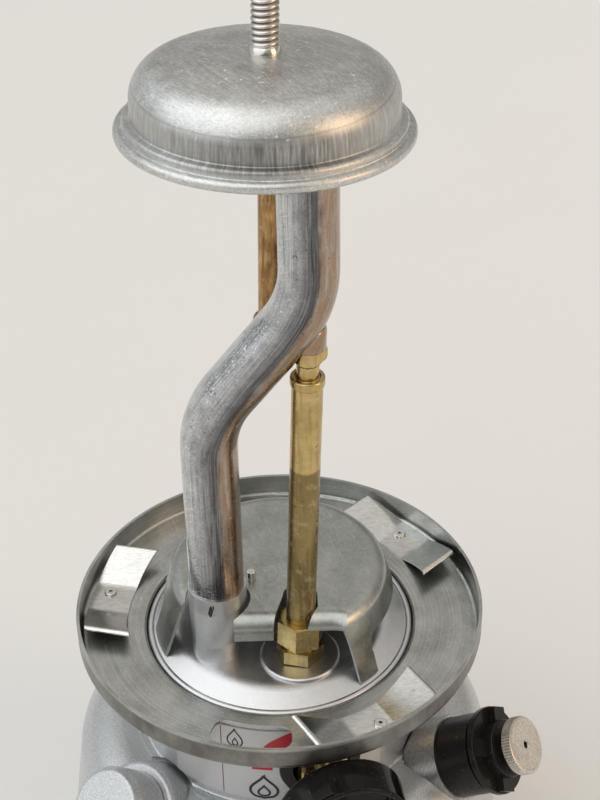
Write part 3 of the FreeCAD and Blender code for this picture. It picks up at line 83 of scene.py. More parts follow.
# Adds nodes to a shader tree or a geometry tree
class Maker:
    def __init__(self, tree):
        self.tree = tree

    def node(self, kind, settings=None, inputs=None, output=0):
        made = self.tree.nodes.new(kind)
        for name, value in (settings or {}).items():
            setattr(made, name, value)
        for name, value in (inputs or {}).items():
            socket = made.inputs[name]
            if isinstance(value, Wire):
                self.tree.links.new(value.socket, socket)
            else:
                socket.default_value = (*value, 1.0) if socket.type == "RGBA" else value
        return Wire(self, made.outputs[output] if made.outputs else None)

    def sum(self, operation, *values):
        return self.node("ShaderNodeMath", {"operation": operation}, dict(enumerate(values)))

    # 0 up to low, 1 from high on, and straight between them
    def rise(self, value, low, high):
        return self.node("ShaderNodeMapRange", {},
                         {"Value": value, "From Min": low, "From Max": high})

    # 1 between two edges, each given as where it is 0 and where it is 1
    def band(self, value, first, second):
        return self.rise(value, *first) * self.rise(value, *second)

    def vector(self, operation, *values, output=0):
        return self.node("ShaderNodeVectorMath", {"operation": operation},
                         dict(enumerate(values)), output)

    def blend(self, amount, first, second):
        return self.node("ShaderNodeMix", {"data_type": "RGBA"},
                         {0: amount, 6: first, 7: second}, 2)

    def axes(self, spot):
        return [self.node("ShaderNodeSeparateXYZ", {}, {0: spot}, axis) for axis in range(3)]

    def join(self, x, y, z):
        return self.node("ShaderNodeCombineXYZ", {}, {0: x, 1: y, 2: z})

    def noise(self, spot, scale, detail=2.0, roughness=0.5):
        return self.node("ShaderNodeTexNoise", {}, {
            "Vector": spot, "Scale": scale, "Detail": detail, "Roughness": roughness})

    # Spots where a noise rises from low to high
    def specks(self, spot, scale, detail, low, high, roughness=0.5):
        return self.rise(self.noise(spot, scale, detail, roughness), low, high)

    def bump(self, height, distance):
        return self.node("ShaderNodeBump", {}, {"Height": height, "Distance": distance})

    # Place on the surface in metres, from a centre
    def spot(self, centre):
        here = self.node("ShaderNodeTexCoord", {}, {}, "Object")
        return self.vector("SUBTRACT", here, centre)


# A material: even holds what is the same all over, and draw returns what varies
def finish(name, even, draw):
    made = bpy.data.materials.new(name)
    made.use_nodes = True
    made.node_tree.nodes.clear()
    maker = Maker(made.node_tree)
    shader = maker.node("ShaderNodeBsdfPrincipled", {}, {**even, **draw(maker)})
    maker.node("ShaderNodeOutputMaterial", {}, {"Surface": shader})
    return made


# Grain on a turned piece: count sets how often it changes on the way round its upright axis
def turnedGrain(maker, spot, count, along):
    x, y, z = maker.axes(spot)
    radius = (x * x + y * y) ** 0.5
    return maker.noise(maker.join(x / radius * count, y / radius * count, along(radius, z)),
                       1.0, 3.0, 0.6)


# Fine lines that run round the axis, and streaks that run along it
def rings(maker, spot, count, spacing):
    return turnedGrain(maker, spot, count, lambda radius, z: (radius + z) / spacing)


def streaks(maker, spot, count, run):
    return turnedGrain(maker, spot, count, lambda radius, z: z / run)


# Fine brushing in one direction
def brushed(maker, spot, turn, spacing, length, detail=2.0):
    turned = maker.node("ShaderNodeVectorRotate", {"rotation_type": "EULER_XYZ"},
                        {"Vector": spot, "Rotation": turn})
    drawn = maker.vector("MULTIPLY", turned, (1 / length, 1 / spacing, 1 / spacing))
    return maker.noise(drawn, 1.0, detail)


# What all the aluminium shares. Dust: scale, detail, and the levels where it starts and ends.
# Scratches: turn, spacing and length
alloyValues = {
    "dust": (1300.0, 1.0, 0.71, 0.75), "bare": (0.86, 0.86, 0.85), "spread": 0.25,
    "scratches": (((0.3, 0.5, 0.9), 0.0004, 0.012), ((0.9, 1.9, -0.6), 0.0003, 0.008)),
    "scratchEdge": (0.63, 0.72), "scratchTone": 0.5,
    "cloudRough": 0.18, "grainRough": 0.12, "dustRough": 0.3,
    "cloudHeight": 0.4, "scratchDepth": 0.3, "dustHeight": 0.3, "bump": 0.00004,
}


# Long thin scratches in one direction
def scratches(maker, spot, turn, spacing, length):
    return maker.rise(brushed(maker, spot, turn, spacing, length, 1.0),
                      *alloyValues["scratchEdge"])


# Drawn or spun aluminium. Each colour laid over the metal is a function that gives its cover, and
# its colour; some are real marks, and some are painted shade and painted reflections
def aluminium(name, values):
    def draw(maker):
        spot = maker.spot(values["centre"])
        grain = values["grain"](maker, spot)
        cloud = maker.noise(spot, values["cloud"], 4.0, 0.6)
        dust = maker.specks(spot, *alloyValues["dust"]) * values["dust"]
        first, second = (scratches(maker, spot, *run) for run in alloyValues["scratches"])
        marks = (first + second) * values["marks"]
        level = (grain - 0.5) * values["contrast"] + (cloud - 0.5) * values["mottle"]
        color = maker.blend(maker.rise(level, -alloyValues["spread"], alloyValues["spread"]),
                            values["dark"], values["light"])
        color = maker.blend(marks * alloyValues["scratchTone"] + dust, color, alloyValues["bare"])
        for cover, tone in values.get("tints", ()):
            color = maker.blend(cover(maker, spot), color, tone)
        rough = (values["roughness"] + (cloud - 0.5) * alloyValues["cloudRough"]
                 + (grain - 0.5) * alloyValues["grainRough"] + dust * alloyValues["dustRough"])
        height = (grain * values["depth"] + cloud * alloyValues["cloudHeight"]
                  - marks * alloyValues["scratchDepth"] + dust * alloyValues["dustHeight"])
        return {"Base Color": color, "Roughness": rough,
                "Normal": maker.bump(height, alloyValues["bump"])}
    return finish(name, {"Metallic": 1.0}, draw)


# The dome's wall shows the drawing streaks, and its crown a brushing across it
def domeGrain(maker, spot):
    wall = maker.band(maker.axes(spot)[2], domeValues["wallTop"], domeValues["wallFoot"])
    brushing = (brushed(maker, spot, *domeValues["brush"]) - 0.5) * domeValues["brushing"]
    crown = brushing + (maker.noise(spot, domeValues["pebble"], 2.0) - 0.5) * domeValues["pebbling"]
    drawn = (streaks(maker, spot, *domeValues["streaks"]) - 0.5) * wall * domeValues["drawing"]
    return drawn + crown * (1.0 - wall) + 0.5


# Dark drawing streaks round the dome's wall, and painted dark reflection on the wall's front middle
def domeStreaksAndDarkReflection(maker, spot):
    x, y, z = maker.axes(spot)
    middle = maker.sum("ABSOLUTE", x - domeValues["reflectMiddle"])
    # Painted dark reflection: the front middle of the wall is darkened more
    front = maker.rise(y, *domeValues["reflectFront"]) * maker.rise(middle, *domeValues["reflectWide"])
    band = maker.band(z, domeValues["smokeTop"], domeValues["wallFoot"])
    ragged = maker.rise(streaks(maker, spot, *domeValues["smokeStreaks"]), *domeValues["smokeEdge"])
    return band * (domeValues["smokeAll"] + front * domeValues["reflectMore"]) * ragged


# Painted shade: a thin dark line where the wall meets the shoulder
def domeShadeLine(maker, spot):
    wobble = (maker.noise(spot, domeValues["wobble"], 2.0) - 0.5) * domeValues["wobbleHigh"]
    z = maker.axes(spot)[2] + wobble
    away = maker.sum("ABSOLUTE", z - domeValues["shadeLineHeight"])
    return maker.rise(away, *domeValues["shadeLineEdge"]) * domeValues["shadeLineTone"]


domeValues = {
    "centre": (0.0, 0.0, 0.2552), "grain": domeGrain,
    "cloud": 190.0, "dust": 0.9, "marks": 0.35, "contrast": 0.5, "mottle": 0.45,
    "dark": (0.44, 0.45, 0.44), "light": (0.74, 0.75, 0.74), "roughness": 0.4, "depth": 0.7,
    # The first tint is drawing streaks with a painted dark reflection on the front, the second a
    # painted shade line at the shoulder
    "tints": ((domeStreaksAndDarkReflection, (0.16, 0.155, 0.15)), (domeShadeLine, (0.2, 0.2, 0.19))),
    "wallTop": (0.0132, 0.0118), "wallFoot": (0.005, 0.0065),
    "brush": ((0.0, 0.0, 0.91), 0.00025, 0.005), "brushing": 1.7,
    "pebble": 1300.0, "pebbling": 0.9, "streaks": (55.0, 0.006), "drawing": 1.5,
    "smokeTop": (0.0132, 0.011), "reflectFront": (-0.006, -0.022), "reflectMiddle": 0.002,
    "reflectWide": (0.024, 0.008), "smokeStreaks": (40.0, 0.008), "smokeEdge": (0.15, 0.6),
    "smokeAll": 0.35, "reflectMore": 0.55,
    "shadeLineHeight": 0.0128, "shadeLineEdge": (0.00035, 0.00005), "shadeLineTone": 0.3,
    "wobble": 120.0, "wobbleHigh": 0.0006,
}


# Painted shade: the outside of the rest's rim is darker all round, with real scuffs down it
def restRimShadeAndScuffs(maker, spot):
    x, y, z = maker.axes(spot)
    radius = (x * x + y * y) ** 0.5
    outside = maker.rise(radius, *restValues["rimRadius"]) * maker.rise(z, *restValues["rimTop"])
    scuffs = maker.rise(streaks(maker, spot, *restValues["scuffs"]), *restValues["scuffEdge"])
    return outside * (restValues["rimShadeTone"] + restValues["scuffTone"] * scuffs)


restValues = {
    "centre": (0.0, 0.0, 0.11),
    "grain": lambda maker, spot: rings(maker, spot, 0.6, 0.00035),
    "cloud": 90.0, "dust": 0.35, "marks": 0.4, "contrast": 0.5, "mottle": 0.9,
    "dark": (0.27, 0.28, 0.265), "light": (0.56, 0.57, 0.55), "roughness": 0.33, "depth": 0.45,
    # Painted shade on the outside of the rim, with scuffs
    "tints": ((restRimShadeAndScuffs, (0.14, 0.13, 0.12)),),
    "rimRadius": (0.0531, 0.0534), "rimTop": (0.0078, 0.0070), "rimShadeTone": 0.6,
    "scuffs": (9.0, 0.01), "scuffEdge": (0.35, 0.65), "scuffTone": 0.35,
}
panValues = {
    "centre": (0.0, 0.0, 0.11),
    "grain": lambda maker, spot: maker.noise(spot, 1400.0, 2.0),
    "cloud": 260.0, "dust": 0.3, "marks": 0.4, "contrast": 0.18, "mottle": 0.3,
    "dark": (0.5, 0.505, 0.515), "light": (0.72, 0.725, 0.735), "roughness": 0.38, "depth": 0.35,
}
shieldValues = {
    "centre": (0.0, 0.0, 0.13),
    "grain": lambda maker, spot: maker.noise(spot, 900.0, 2.0),
    "cloud": 120.0, "dust": 0.3, "marks": 0.4, "contrast": 0.3, "mottle": 0.7,
    "dark": (0.26, 0.28, 0.265), "light": (0.5, 0.515, 0.49), "roughness": 0.33, "depth": 0.4,
}


# Places on the bent tube: side and front are from its middle, in tube radii
def alongTube(maker, spot):
    x, y, z = maker.axes(spot)
    low, high = tubeValues["bend"]
    across, forward = tubeValues["shift"]
    bend = maker.node("ShaderNodeMapRange", {"interpolation_type": "SMOOTHSTEP"},
                      {"Value": z, "From Min": low, "From Max": high})
    return ((x - bend * across) / tubeValues["radius"],
            (y + bend * forward) / tubeValues["radius"], z)


# Noise that follows the tube, by how often it changes round it and up it
def tubeNoise(maker, place, around, upward, roughness):
    side, front, z = place
    return maker.noise(maker.join(side * around, front * around, z * upward), 1.0, 4.0, roughness)


def tubeGrain(maker, spot):
    lines = tubeNoise(maker, alongTube(maker, spot), *tubeValues["lines"])
    pebble = maker.noise(spot, tubeValues["pebble"], 2.0)
    return ((lines - 0.5) * tubeValues["lining"] + pebble * tubeValues["pebbling"]
            + tubeValues["lift"])


# Painted dark reflection: a dark band down the front of the tube, ragged at its sides
def tubeDarkReflection(maker, spot):
    place = alongTube(maker, spot)
    side, front, z = place
    sway = tubeNoise(maker, place, *tubeValues["reflectionSway"]) - 0.5
    ragged = side + sway * tubeValues["reflectionRagged"]
    band = maker.band(ragged, *tubeValues["reflectionEdges"])
    lines = maker.rise(tubeNoise(maker, place, *tubeValues["reflectionLines"]), *tubeValues["patchEdge"])
    tone = tubeValues["reflectionTone"] + tubeValues["reflectionMore"] * lines
    return band * maker.rise(front, *tubeValues["reflectionFront"]) * tone


# Painted warm reflection: the right side of the tube is tinted brown, in patches
def tubeWarmReflection(maker, spot):
    place = alongTube(maker, spot)
    patch = maker.rise(tubeNoise(maker, place, *tubeValues["warmPatch"]), *tubeValues["patchEdge"])
    tone = tubeValues["warmTone"] + tubeValues["warmMore"] * patch
    return maker.rise(place[0], *tubeValues["warmSide"]) * tone


def tubePits(maker, spot):
    return maker.specks(spot, *tubeValues["pits"]) * tubeValues["pitTone"]


tubeValues = {
    "centre": (-0.0156, -0.0136, 0.13), "grain": tubeGrain,
    "cloud": 230.0, "dust": 1.2, "marks": 1.0, "contrast": 0.8, "mottle": 0.6,
    "dark": (0.32, 0.33, 0.345), "light": (0.72, 0.74, 0.76), "roughness": 0.18, "depth": 0.6,
    # The first two tints are painted reflections, a dark band down the front and a warm brown right
    # side; the pits are real
    "tints": ((tubeDarkReflection, (0.07, 0.07, 0.075)), (tubeWarmReflection, (0.34, 0.22, 0.13)),
               (tubePits, (0.12, 0.11, 0.1))),
    "bend": (0.049, 0.101), "shift": (0.02427, 0.00337), "radius": 0.0069,
    "lines": (12.0, 40.0, 0.7), "lining": 1.4, "pebble": 1500.0, "pebbling": 0.5, "lift": 0.25,
    "reflectionSway": (3.0, 160.0, 0.65), "reflectionRagged": 0.55, "reflectionEdges": ((-0.75, 0.1), (0.52, 0.28)),
    "reflectionLines": (16.0, 60.0, 0.7), "reflectionFront": (0.4, -0.1), "reflectionTone": 0.6, "reflectionMore": 0.4,
    "warmPatch": (5.0, 90.0, 0.6), "warmSide": (0.2, 0.45), "warmTone": 0.4, "warmMore": 0.55,
    "patchEdge": (0.3, 0.6),
    "pits": (1000.0, 1.0, 0.7, 0.74), "pitTone": 0.7,
}
domeMetal = aluminium("domeAluminium", domeValues)
restMetal = aluminium("restAluminium", restValues)
panMetal = aluminium("panAluminium", panValues)
shieldMetal = aluminium("shieldAluminium", shieldValues)
tubeMetal = aluminium("tubeAluminium", tubeValues)
print("aluminium")

paintValues = {
    "low": (0.4, 0.415, 0.425), "high": (0.6, 0.615, 0.625), "chipped": (0.2, 0.2, 0.2),
    "fleck": 2600.0, "cloud": 45.0, "uneven": 0.35, "fleckEdge": (0.3, 0.7),
    "chips": (700.0, 2.0, 0.74, 0.77), "chipTone": 0.6,
    "roughness": 0.36, "cloudRough": 0.2, "chipRough": 0.2,
    "cloudHeight": 0.7, "fleckHeight": 0.2, "bump": 0.00004,
}


def drawPaint(maker):
    spot = maker.spot((0.0, 0.0, 0.0))
    fleck = maker.noise(spot, paintValues["fleck"], 1.0)
    cloud = maker.noise(spot, paintValues["cloud"], 3.0)
    chips = maker.specks(spot, *paintValues["chips"])
    level = fleck + (cloud - 0.5) * paintValues["uneven"]
    color = maker.blend(maker.rise(level, *paintValues["fleckEdge"]),
                        paintValues["low"], paintValues["high"])
    color = maker.blend(chips * paintValues["chipTone"], color, paintValues["chipped"])
    rough = (paintValues["roughness"] + (cloud - 0.5) * paintValues["cloudRough"]
             + chips * paintValues["chipRough"])
    height = cloud * paintValues["cloudHeight"] + fleck * paintValues["fleckHeight"]
    return {"Base Color": color, "Roughness": rough,
            "Normal": maker.bump(height, paintValues["bump"])}


silverPaint = finish(
    "silverPaint", {"Metallic": 0.6, "Coat Weight": 0.35, "Coat Roughness": 0.16}, drawPaint)

brassValues = {
    "bright": (0.62, 0.465, 0.2), "dull": (0.42, 0.315, 0.135), "olive": (0.2, 0.15, 0.065),
    "line": (0.1, 0.06, 0.025), "pale": (0.7, 0.62, 0.44), "pit": (0.09, 0.06, 0.03),
    "centre": (0.0049, -0.017, 0.115), "cloud": (160.0, 4.0, 0.62), "cloudEdge": (0.36, 0.66),
    "stretch": (1.0, 1.0, 0.05), "grain": (1300.0, 3.0, 0.65), "grainEdge": (0.5, 0.7),
    "lined": 0.35, "tints": (420.0, 3.0, 0.56, 0.7), "stainTone": 0.3,
    "pits": (900.0, 2.0, 0.7, 0.76), "pitTone": 0.8,
    "roughness": 0.22, "cloudRough": 0.3, "grainRough": 0.1, "stainRough": 0.15,
    "grainHeight": 0.5, "cloudHeight": 0.5, "bump": 0.00003,
}
copperValues = {
    **brassValues, "bright": (0.6, 0.37, 0.15), "dull": (0.36, 0.2, 0.08),
    "olive": (0.16, 0.09, 0.04), "line": (0.09, 0.045, 0.02), "pale": (0.72, 0.56, 0.36),
    "lined": 0.6,
}


# heat gives how far the metal has darkened, from 0 to 1
def brass(name, heat, values):
    def draw(maker):
        spot = maker.spot(values["centre"])
        cloud = maker.noise(spot, *values["cloud"])
        grain = maker.noise(maker.vector("MULTIPLY", spot, values["stretch"]), *values["grain"])
        stain = maker.specks(spot, *values["tints"])
        pits = maker.specks(spot, *values["pits"])
        lines = maker.rise(grain, *values["grainEdge"]) * values["lined"]
        color = maker.blend(maker.rise(cloud, *values["cloudEdge"]),
                            values["bright"], values["dull"])
        color = maker.blend(heat(maker, spot), color, values["olive"])
        color = maker.blend(lines, color, values["line"])
        color = maker.blend(stain * values["stainTone"], color, values["pale"])
        color = maker.blend(pits * values["pitTone"], color, values["pit"])
        rough = (values["roughness"] + (cloud - 0.5) * values["cloudRough"]
                 + grain * values["grainRough"] + stain * values["stainRough"])
        height = grain * values["grainHeight"] + cloud * values["cloudHeight"]
        return {"Base Color": color, "Roughness": rough,
                "Normal": maker.bump(height, values["bump"])}
    return finish(name, {"Metallic": 1.0}, draw)


heatValues = {
    "line": (0.0613, 0.0603), "wobble": 220.0, "wobbleHigh": 0.0016, "low": 0.03,
    "tone": 0.5, "more": 0.35, "foot": (0.014, 0.006), "footTone": 0.3,
    "tarnish": (75.0, 2.0, 0.5, 0.75), "tarnishTone": 0.5,
    "burn": (700.0, 3.0, 0.4, 0.62, 0.65), "burnStretch": (1.0, 1.0, 0.1), "burnTone": 0.8,
}


# The generator is darker below a wavy line, and at its foot
def generatorHeat(maker, spot):
    z = maker.axes(spot)[2]
    full, clear = heatValues["line"][1], heatValues["line"][0]
    wobble = (maker.noise(spot, heatValues["wobble"], 2.0) - 0.5) * heatValues["wobbleHigh"]
    climb = heatValues["tone"] + heatValues["more"] * maker.rise(z, heatValues["low"], full)
    middle = maker.rise(z + wobble, clear, full) * climb
    return middle + maker.rise(z, *heatValues["foot"]) * heatValues["footTone"]


# Patches of tarnish
def tarnish(maker, spot):
    return maker.specks(spot, *heatValues["tarnish"]) * heatValues["tarnishTone"]


# Streaks of burnt metal that run up the piece
def burn(maker, spot):
    stretched = maker.vector("MULTIPLY", spot, heatValues["burnStretch"])
    return maker.specks(stretched, *heatValues["burn"]) * heatValues["burnTone"]


plainBrass = brass("brass", tarnish, {**brassValues, "lined": 0.15})
generatorBrass = brass("generatorBrass", generatorHeat, brassValues)
burnerBrass = brass("burnerBrass", burn, copperValues)
print("paint and brass")

steelValues = {
    "centre": (0.0, 0.0, 0.1), "stretch": (0.3, 1.0, 1.0), "grain": 1600.0, "cloud": 140.0,
    "tints": (380.0, 4.0, 0.6, 0.74, 0.65), "stain": 0.2, "rust": (0.3, 0.27, 0.24),
    "dark": (0.56, 0.56, 0.54), "light": (0.74, 0.74, 0.72), "uneven": 0.5, "edge": (0.25, 0.75),
    "roughness": 0.2, "cloudRough": 0.16, "stainRough": 0.3,
    "grainHeight": 0.4, "cloudHeight": 0.3, "bump": 0.00001,
}


# Rolled, turned or plated steel
def steel(name, changes):
    values = {**steelValues, **changes}

    def draw(maker):
        spot = maker.spot(values["centre"])
        grain = maker.noise(maker.vector("MULTIPLY", spot, values["stretch"]), values["grain"])
        cloud = maker.noise(spot, values["cloud"], 3.0)
        stain = maker.specks(spot, *values["tints"]) * values["stain"]
        level = grain + (cloud - 0.5) * values["uneven"]
        color = maker.blend(maker.rise(level, *values["edge"]), values["dark"], values["light"])
        rough = (values["roughness"] + (cloud - 0.5) * values["cloudRough"]
                 + stain * values["stainRough"])
        height = grain * values["grainHeight"] + cloud * values["cloudHeight"]
        return {"Base Color": maker.blend(stain, color, values["rust"]), "Roughness": rough,
                "Normal": maker.bump(height, values["bump"])}
    return finish(name, {"Metallic": 1.0}, draw)


springSteel = steel("springSteel", {})
brightSteel = steel("brightSteel", {
    "stretch": (1.0, 1.0, 1.0), "stain": 0.5, "roughness": 0.17,
    "dark": (0.56, 0.55, 0.52), "light": (0.86, 0.85, 0.81)})
plainSteel = steel("plainSteel", {
    "stretch": (1.0, 1.0, 0.1), "stain": 0.4, "roughness": 0.34,
    "dark": (0.34, 0.34, 0.34), "light": (0.58, 0.58, 0.57)})
discSteel = steel("discSteel", {
    "stretch": (1.0, 1.0, 1.0), "stain": 0.15, "roughness": 0.33,
    "dark": (0.52, 0.48, 0.42), "light": (0.78, 0.73, 0.65)})

mouldedValues = {
    "dust": (1300.0, 1.0, 0.72, 0.76), "dustColor": (0.55, 0.54, 0.52),
    "cloudRough": 0.16, "dustRough": 0.3, "cloudHeight": 0.3, "bump": 0.00005,
}


# Mouldings, rubber, leather, print, and the black of the painted shadow
def moulding(name, even, values):
    def draw(maker):
        spot = maker.spot((0.0, 0.0, 0.0))
        cloud = maker.noise(spot, values["cloud"], 3.0)
        grain = maker.noise(spot, values["grain"], 2.0)
        dust = maker.specks(spot, *mouldedValues["dust"]) * values["dust"]
        color = maker.blend(cloud, values["dark"], values["light"])
        color = maker.blend(dust, color, mouldedValues["dustColor"])
        rough = (values["roughness"] + (cloud - 0.5) * mouldedValues["cloudRough"]
                 + dust * mouldedValues["dustRough"])
        height = grain * values["depth"] + cloud * mouldedValues["cloudHeight"]
        return {"Base Color": color, "Roughness": rough,
                "Normal": maker.bump(height, mouldedValues["bump"])}
    return finish(name, even, draw)


def flatColour(name, dark, light, roughness=0.4):
    return moulding(name, {}, {"cloud": 300.0, "grain": 1500.0, "dust": 0.1, "dark": dark,
                               "light": light, "roughness": roughness, "depth": 0.1})


glossPlastic = moulding(
    "glossBlack", {"Specular IOR Level": 0.14, "Coat Weight": 0.06, "Coat Roughness": 0.04},
    {"cloud": 90.0, "grain": 500.0, "dust": 0.1, "dark": (0.003, 0.003, 0.003),
     "light": (0.009, 0.008, 0.007), "roughness": 0.12, "depth": 0.12})
satinPlastic = moulding(
    "satinBlack", {"Specular IOR Level": 0.22},
    {"cloud": 120.0, "grain": 1500.0, "dust": 0.2, "dark": (0.006, 0.006, 0.006),
     "light": (0.016, 0.015, 0.014), "roughness": 0.28, "depth": 0.4})
rubber = moulding(
    "rubber", {"Specular IOR Level": 0.35},
    {"cloud": 200.0, "grain": 1800.0, "dust": 0.25, "dark": (0.014, 0.014, 0.014),
     "light": (0.035, 0.034, 0.033), "roughness": 0.62, "depth": 0.7})
leather = moulding(
    "leather", {"Sheen Weight": 0.1},
    {"cloud": 260.0, "grain": 900.0, "dust": 0.0, "dark": (0.16, 0.08, 0.035),
     "light": (0.34, 0.19, 0.09), "roughness": 0.55, "depth": 1.0})
labelWhite = moulding(
    "labelFoil", {"Metallic": 0.2},
    {"cloud": 60.0, "grain": 2200.0, "dust": 0.1, "dark": (0.48, 0.485, 0.49),
     "light": (0.6, 0.605, 0.61), "roughness": 0.36, "depth": 0.25})
blackInkAndShade = flatColour("blackInkAndShade", (0.01, 0.01, 0.012), (0.03, 0.03, 0.032), 0.42)
inkRed = flatColour("inkRed", (0.42, 0.01, 0.03), (0.52, 0.018, 0.04))
inkPurple = flatColour("inkPurple", (0.16, 0.05, 0.1), (0.24, 0.09, 0.15))
print("steel and mouldings")

slots = {
    "silver_paint": silverPaint, "satin_aluminium": panMetal, "spring_steel": springSteel,
    "bright_steel": brightSteel, "plain_steel": plainSteel, "brass": plainBrass,
    "gloss_black_plastic": glossPlastic, "black_plastic": satinPlastic,
    "knurled_steel": discSteel, "rubber": rubber, "leather": leather, "label_white": labelWhite,
}
special = {
    "burner_dome": domeMetal, "burner_base": domeMetal, "globe_rest": restMetal,
    "heat_shield": shieldMetal, "air_tube": tubeMetal, "generator_tube": generatorBrass,
    "generator_neck": generatorBrass, "burner_tube": burnerBrass,
}
for subpart in frame["record"]["subparts"]:
    node = subpart["node"]
    material = special.get(node, slots[subpart["material_slot"]])
    thing = parts[node]
    if not thing.material_slots:
        thing.data.materials.append(material)
    for slot in thing.material_slots:
        slot.material = material
print("nodes dressed")


# A finished piece of the object, in metres, on a body
def piece(name, mesh, material, body, replaced=()):
    made = bpy.data.objects.new(name, mesh)
    bpy.context.scene.collection.objects.link(made)
    if not mesh.materials:
        mesh.materials.append(material)
    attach(made, body)
    if replaced:
        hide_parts(*replaced)
    return made


# Edges sharper than the angle stay crisp
def shade(form, degrees=35.0):
    for face in form.faces:
        face.smooth = True
    for edge in form.edges:
        if len(edge.link_faces) == 2:
            edge.smooth = edge.calc_face_angle(0.0) < math.radians(degrees)


def meshOf(name, form):
    mesh = bpy.data.meshes.new(name)
    form.to_mesh(mesh)
    form.free()
    return mesh


# A profile of (radius, height) pairs in millimetres, spun round its axis
def spun(name, profile, count):
    form = bmesh.new()
    loops = []
    for radius, height in profile:
        if radius < 1e-6:
            loops.append([form.verts.new((0.0, 0.0, height * mm))])
            continue
        loops.append([form.verts.new((radius * mm * math.cos(step * 2 * math.pi / count),
                                      radius * mm * math.sin(step * 2 * math.pi / count),
                                      height * mm)) for step in range(count)])
    for below, above in zip(loops, loops[1:]):
        for step in range(count):
            corners = [below[step % len(below)], below[(step + 1) % len(below)],
                       above[(step + 1) % len(above)], above[step % len(above)]]
            form.faces.new(list(dict.fromkeys(corners)))
    bmesh.ops.recalc_face_normals(form, faces=form.faces)
    shade(form)
    return meshOf(name, form)


# Turns a mesh's upright axis to another one and lifts it to a base in millimetres
def stand(mesh, base, axis):
    turn = Vector((0.0, 0.0, 1.0)).rotation_difference(Vector(axis)).to_matrix().to_4x4()
    mesh.transform(Matrix.Translation(Vector(base) * mm) @ turn)


ridgeValues = {
    "steepness": 2.6, "softening": 0.35, "runOut": 0.0006, "wearScale": 900.0,
    "offset": 200.0,  # whole turns, so that no phase is below 0
}


# Ridges round an upright axis: straight ones for a knurl, one that climbs for a thread
def ridgeTree():
    tree = bpy.data.node_groups.new("ridges", "GeometryNodeTree")
    kinds = {"Geometry": "Geometry", "Lines": "Float", "Pitch": "Float", "Depth": "Float",
             "Reach": "Float", "Low": "Float", "High": "Float", "Wear": "Float",
             "Seed": "Int", "Material": "Material"}
    ports = {name: tree.interface.new_socket(name=name, in_out="INPUT",
                                             socket_type="NodeSocket" + kind).identifier
             for name, kind in kinds.items()}
    tree.interface.new_socket(name="Geometry", in_out="OUTPUT",
                              socket_type="NodeSocketGeometry")
    maker = Maker(tree)
    given = {name: maker.node("NodeGroupInput", {}, {}, name) for name in ports}
    place = maker.node("GeometryNodeInputPosition")
    x, y, z = maker.axes(place)
    radius = (x * x + y * y) ** 0.5 + 1e-9
    turns = maker.sum("ARCTAN2", y, x) / (2 * math.pi)
    phase = maker.sum("FRACT", turns * given["Lines"] - z / given["Pitch"] + ridgeValues["offset"])
    ridge = maker.sum("SMOOTH_MIN", maker.sum("PINGPONG", phase, 0.5) * ridgeValues["steepness"],
                      1.0, ridgeValues["softening"])
    runOut = ridgeValues["runOut"]
    chosen = (maker.sum("GREATER_THAN", radius, given["Reach"])
              * maker.rise(z, given["Low"], given["Low"] + runOut)
              * maker.rise(z, given["High"], given["High"] - runOut))
    worn = maker.node("ShaderNodeTexNoise", {"noise_dimensions": "4D"}, {
        "Vector": place, "W": given["Seed"], "Scale": ridgeValues["wearScale"]}) - 0.5
    cutIn = ((ridge - 1.0) * given["Depth"] + worn * given["Wear"]) * chosen
    shifted = maker.node("GeometryNodeSetPosition", {}, {
        "Geometry": given["Geometry"],
        "Offset": maker.join(x / radius * cutIn, y / radius * cutIn, 0.0)})
    real = maker.node("GeometryNodeRealizeInstances", {}, {"Geometry": shifted})
    painted = maker.node("GeometryNodeSetMaterial", {},
                         {"Geometry": real, "Material": given["Material"]})
    maker.node("NodeGroupOutput", {}, {"Geometry": painted})
    return tree, ports


ridges, ridgePorts = ridgeTree()


# The mesh with the tree's ridges, set along an axis from a base in millimetres
def ridged(mesh, values, material, base, axis):
    carrier = bpy.data.objects.new("carrier", mesh)
    bpy.context.scene.collection.objects.link(carrier)
    modifier = carrier.modifiers.new("ridges", "NODES")
    modifier.node_group = ridges
    for name, value in {**values, "Material": material}.items():
        modifier[ridgePorts[name]] = value
    depsgraph = bpy.context.evaluated_depsgraph_get()
    evaluated = carrier.evaluated_get(depsgraph)
    made = bpy.data.meshes.new_from_object(evaluated, depsgraph=depsgraph)
    carrier.modifiers.remove(modifier)
    bpy.data.objects.remove(carrier)
    stand(made, base, axis)
    return made


# Lengths in millimetres, apart from groove, ridges and rustSide, which are in metres
stud = {
    "base": (0.0, 0.0, 255.2), "axis": (0.024367, 0.073238, 0.997017), "low": 14.0,
    "shoulder": 18.3, "top": 49.3, "radius": 3.15, "foot": 3.6, "point": 0.8, "pitch": 1.36,
    "sink": 0.2, "footLow": 0.02, "footHigh": 0.5, "threadLow": 1.6, "endGap": 0.2,
    "rings": 13, "around": 40, "groove": (0.00302, 0.00272),
    "ridges": {"Depth": 0.00052, "Reach": 0.0029, "Wear": 0.00006, "Seed": 3},
    "crest": ((0.5, 0.47, 0.43), (0.8, 0.78, 0.74)), "dirt": (0.1, 0.085, 0.07),
    "rust": (0.24, 0.14, 0.07), "rustSide": (-0.001, 0.003), "grooveTone": 0.85,
    "cloud": (600.0, 4.0, 0.65), "roughness": 0.2, "grooveRough": 0.3, "cloudRough": 0.2,
    "bump": 0.00003,
}


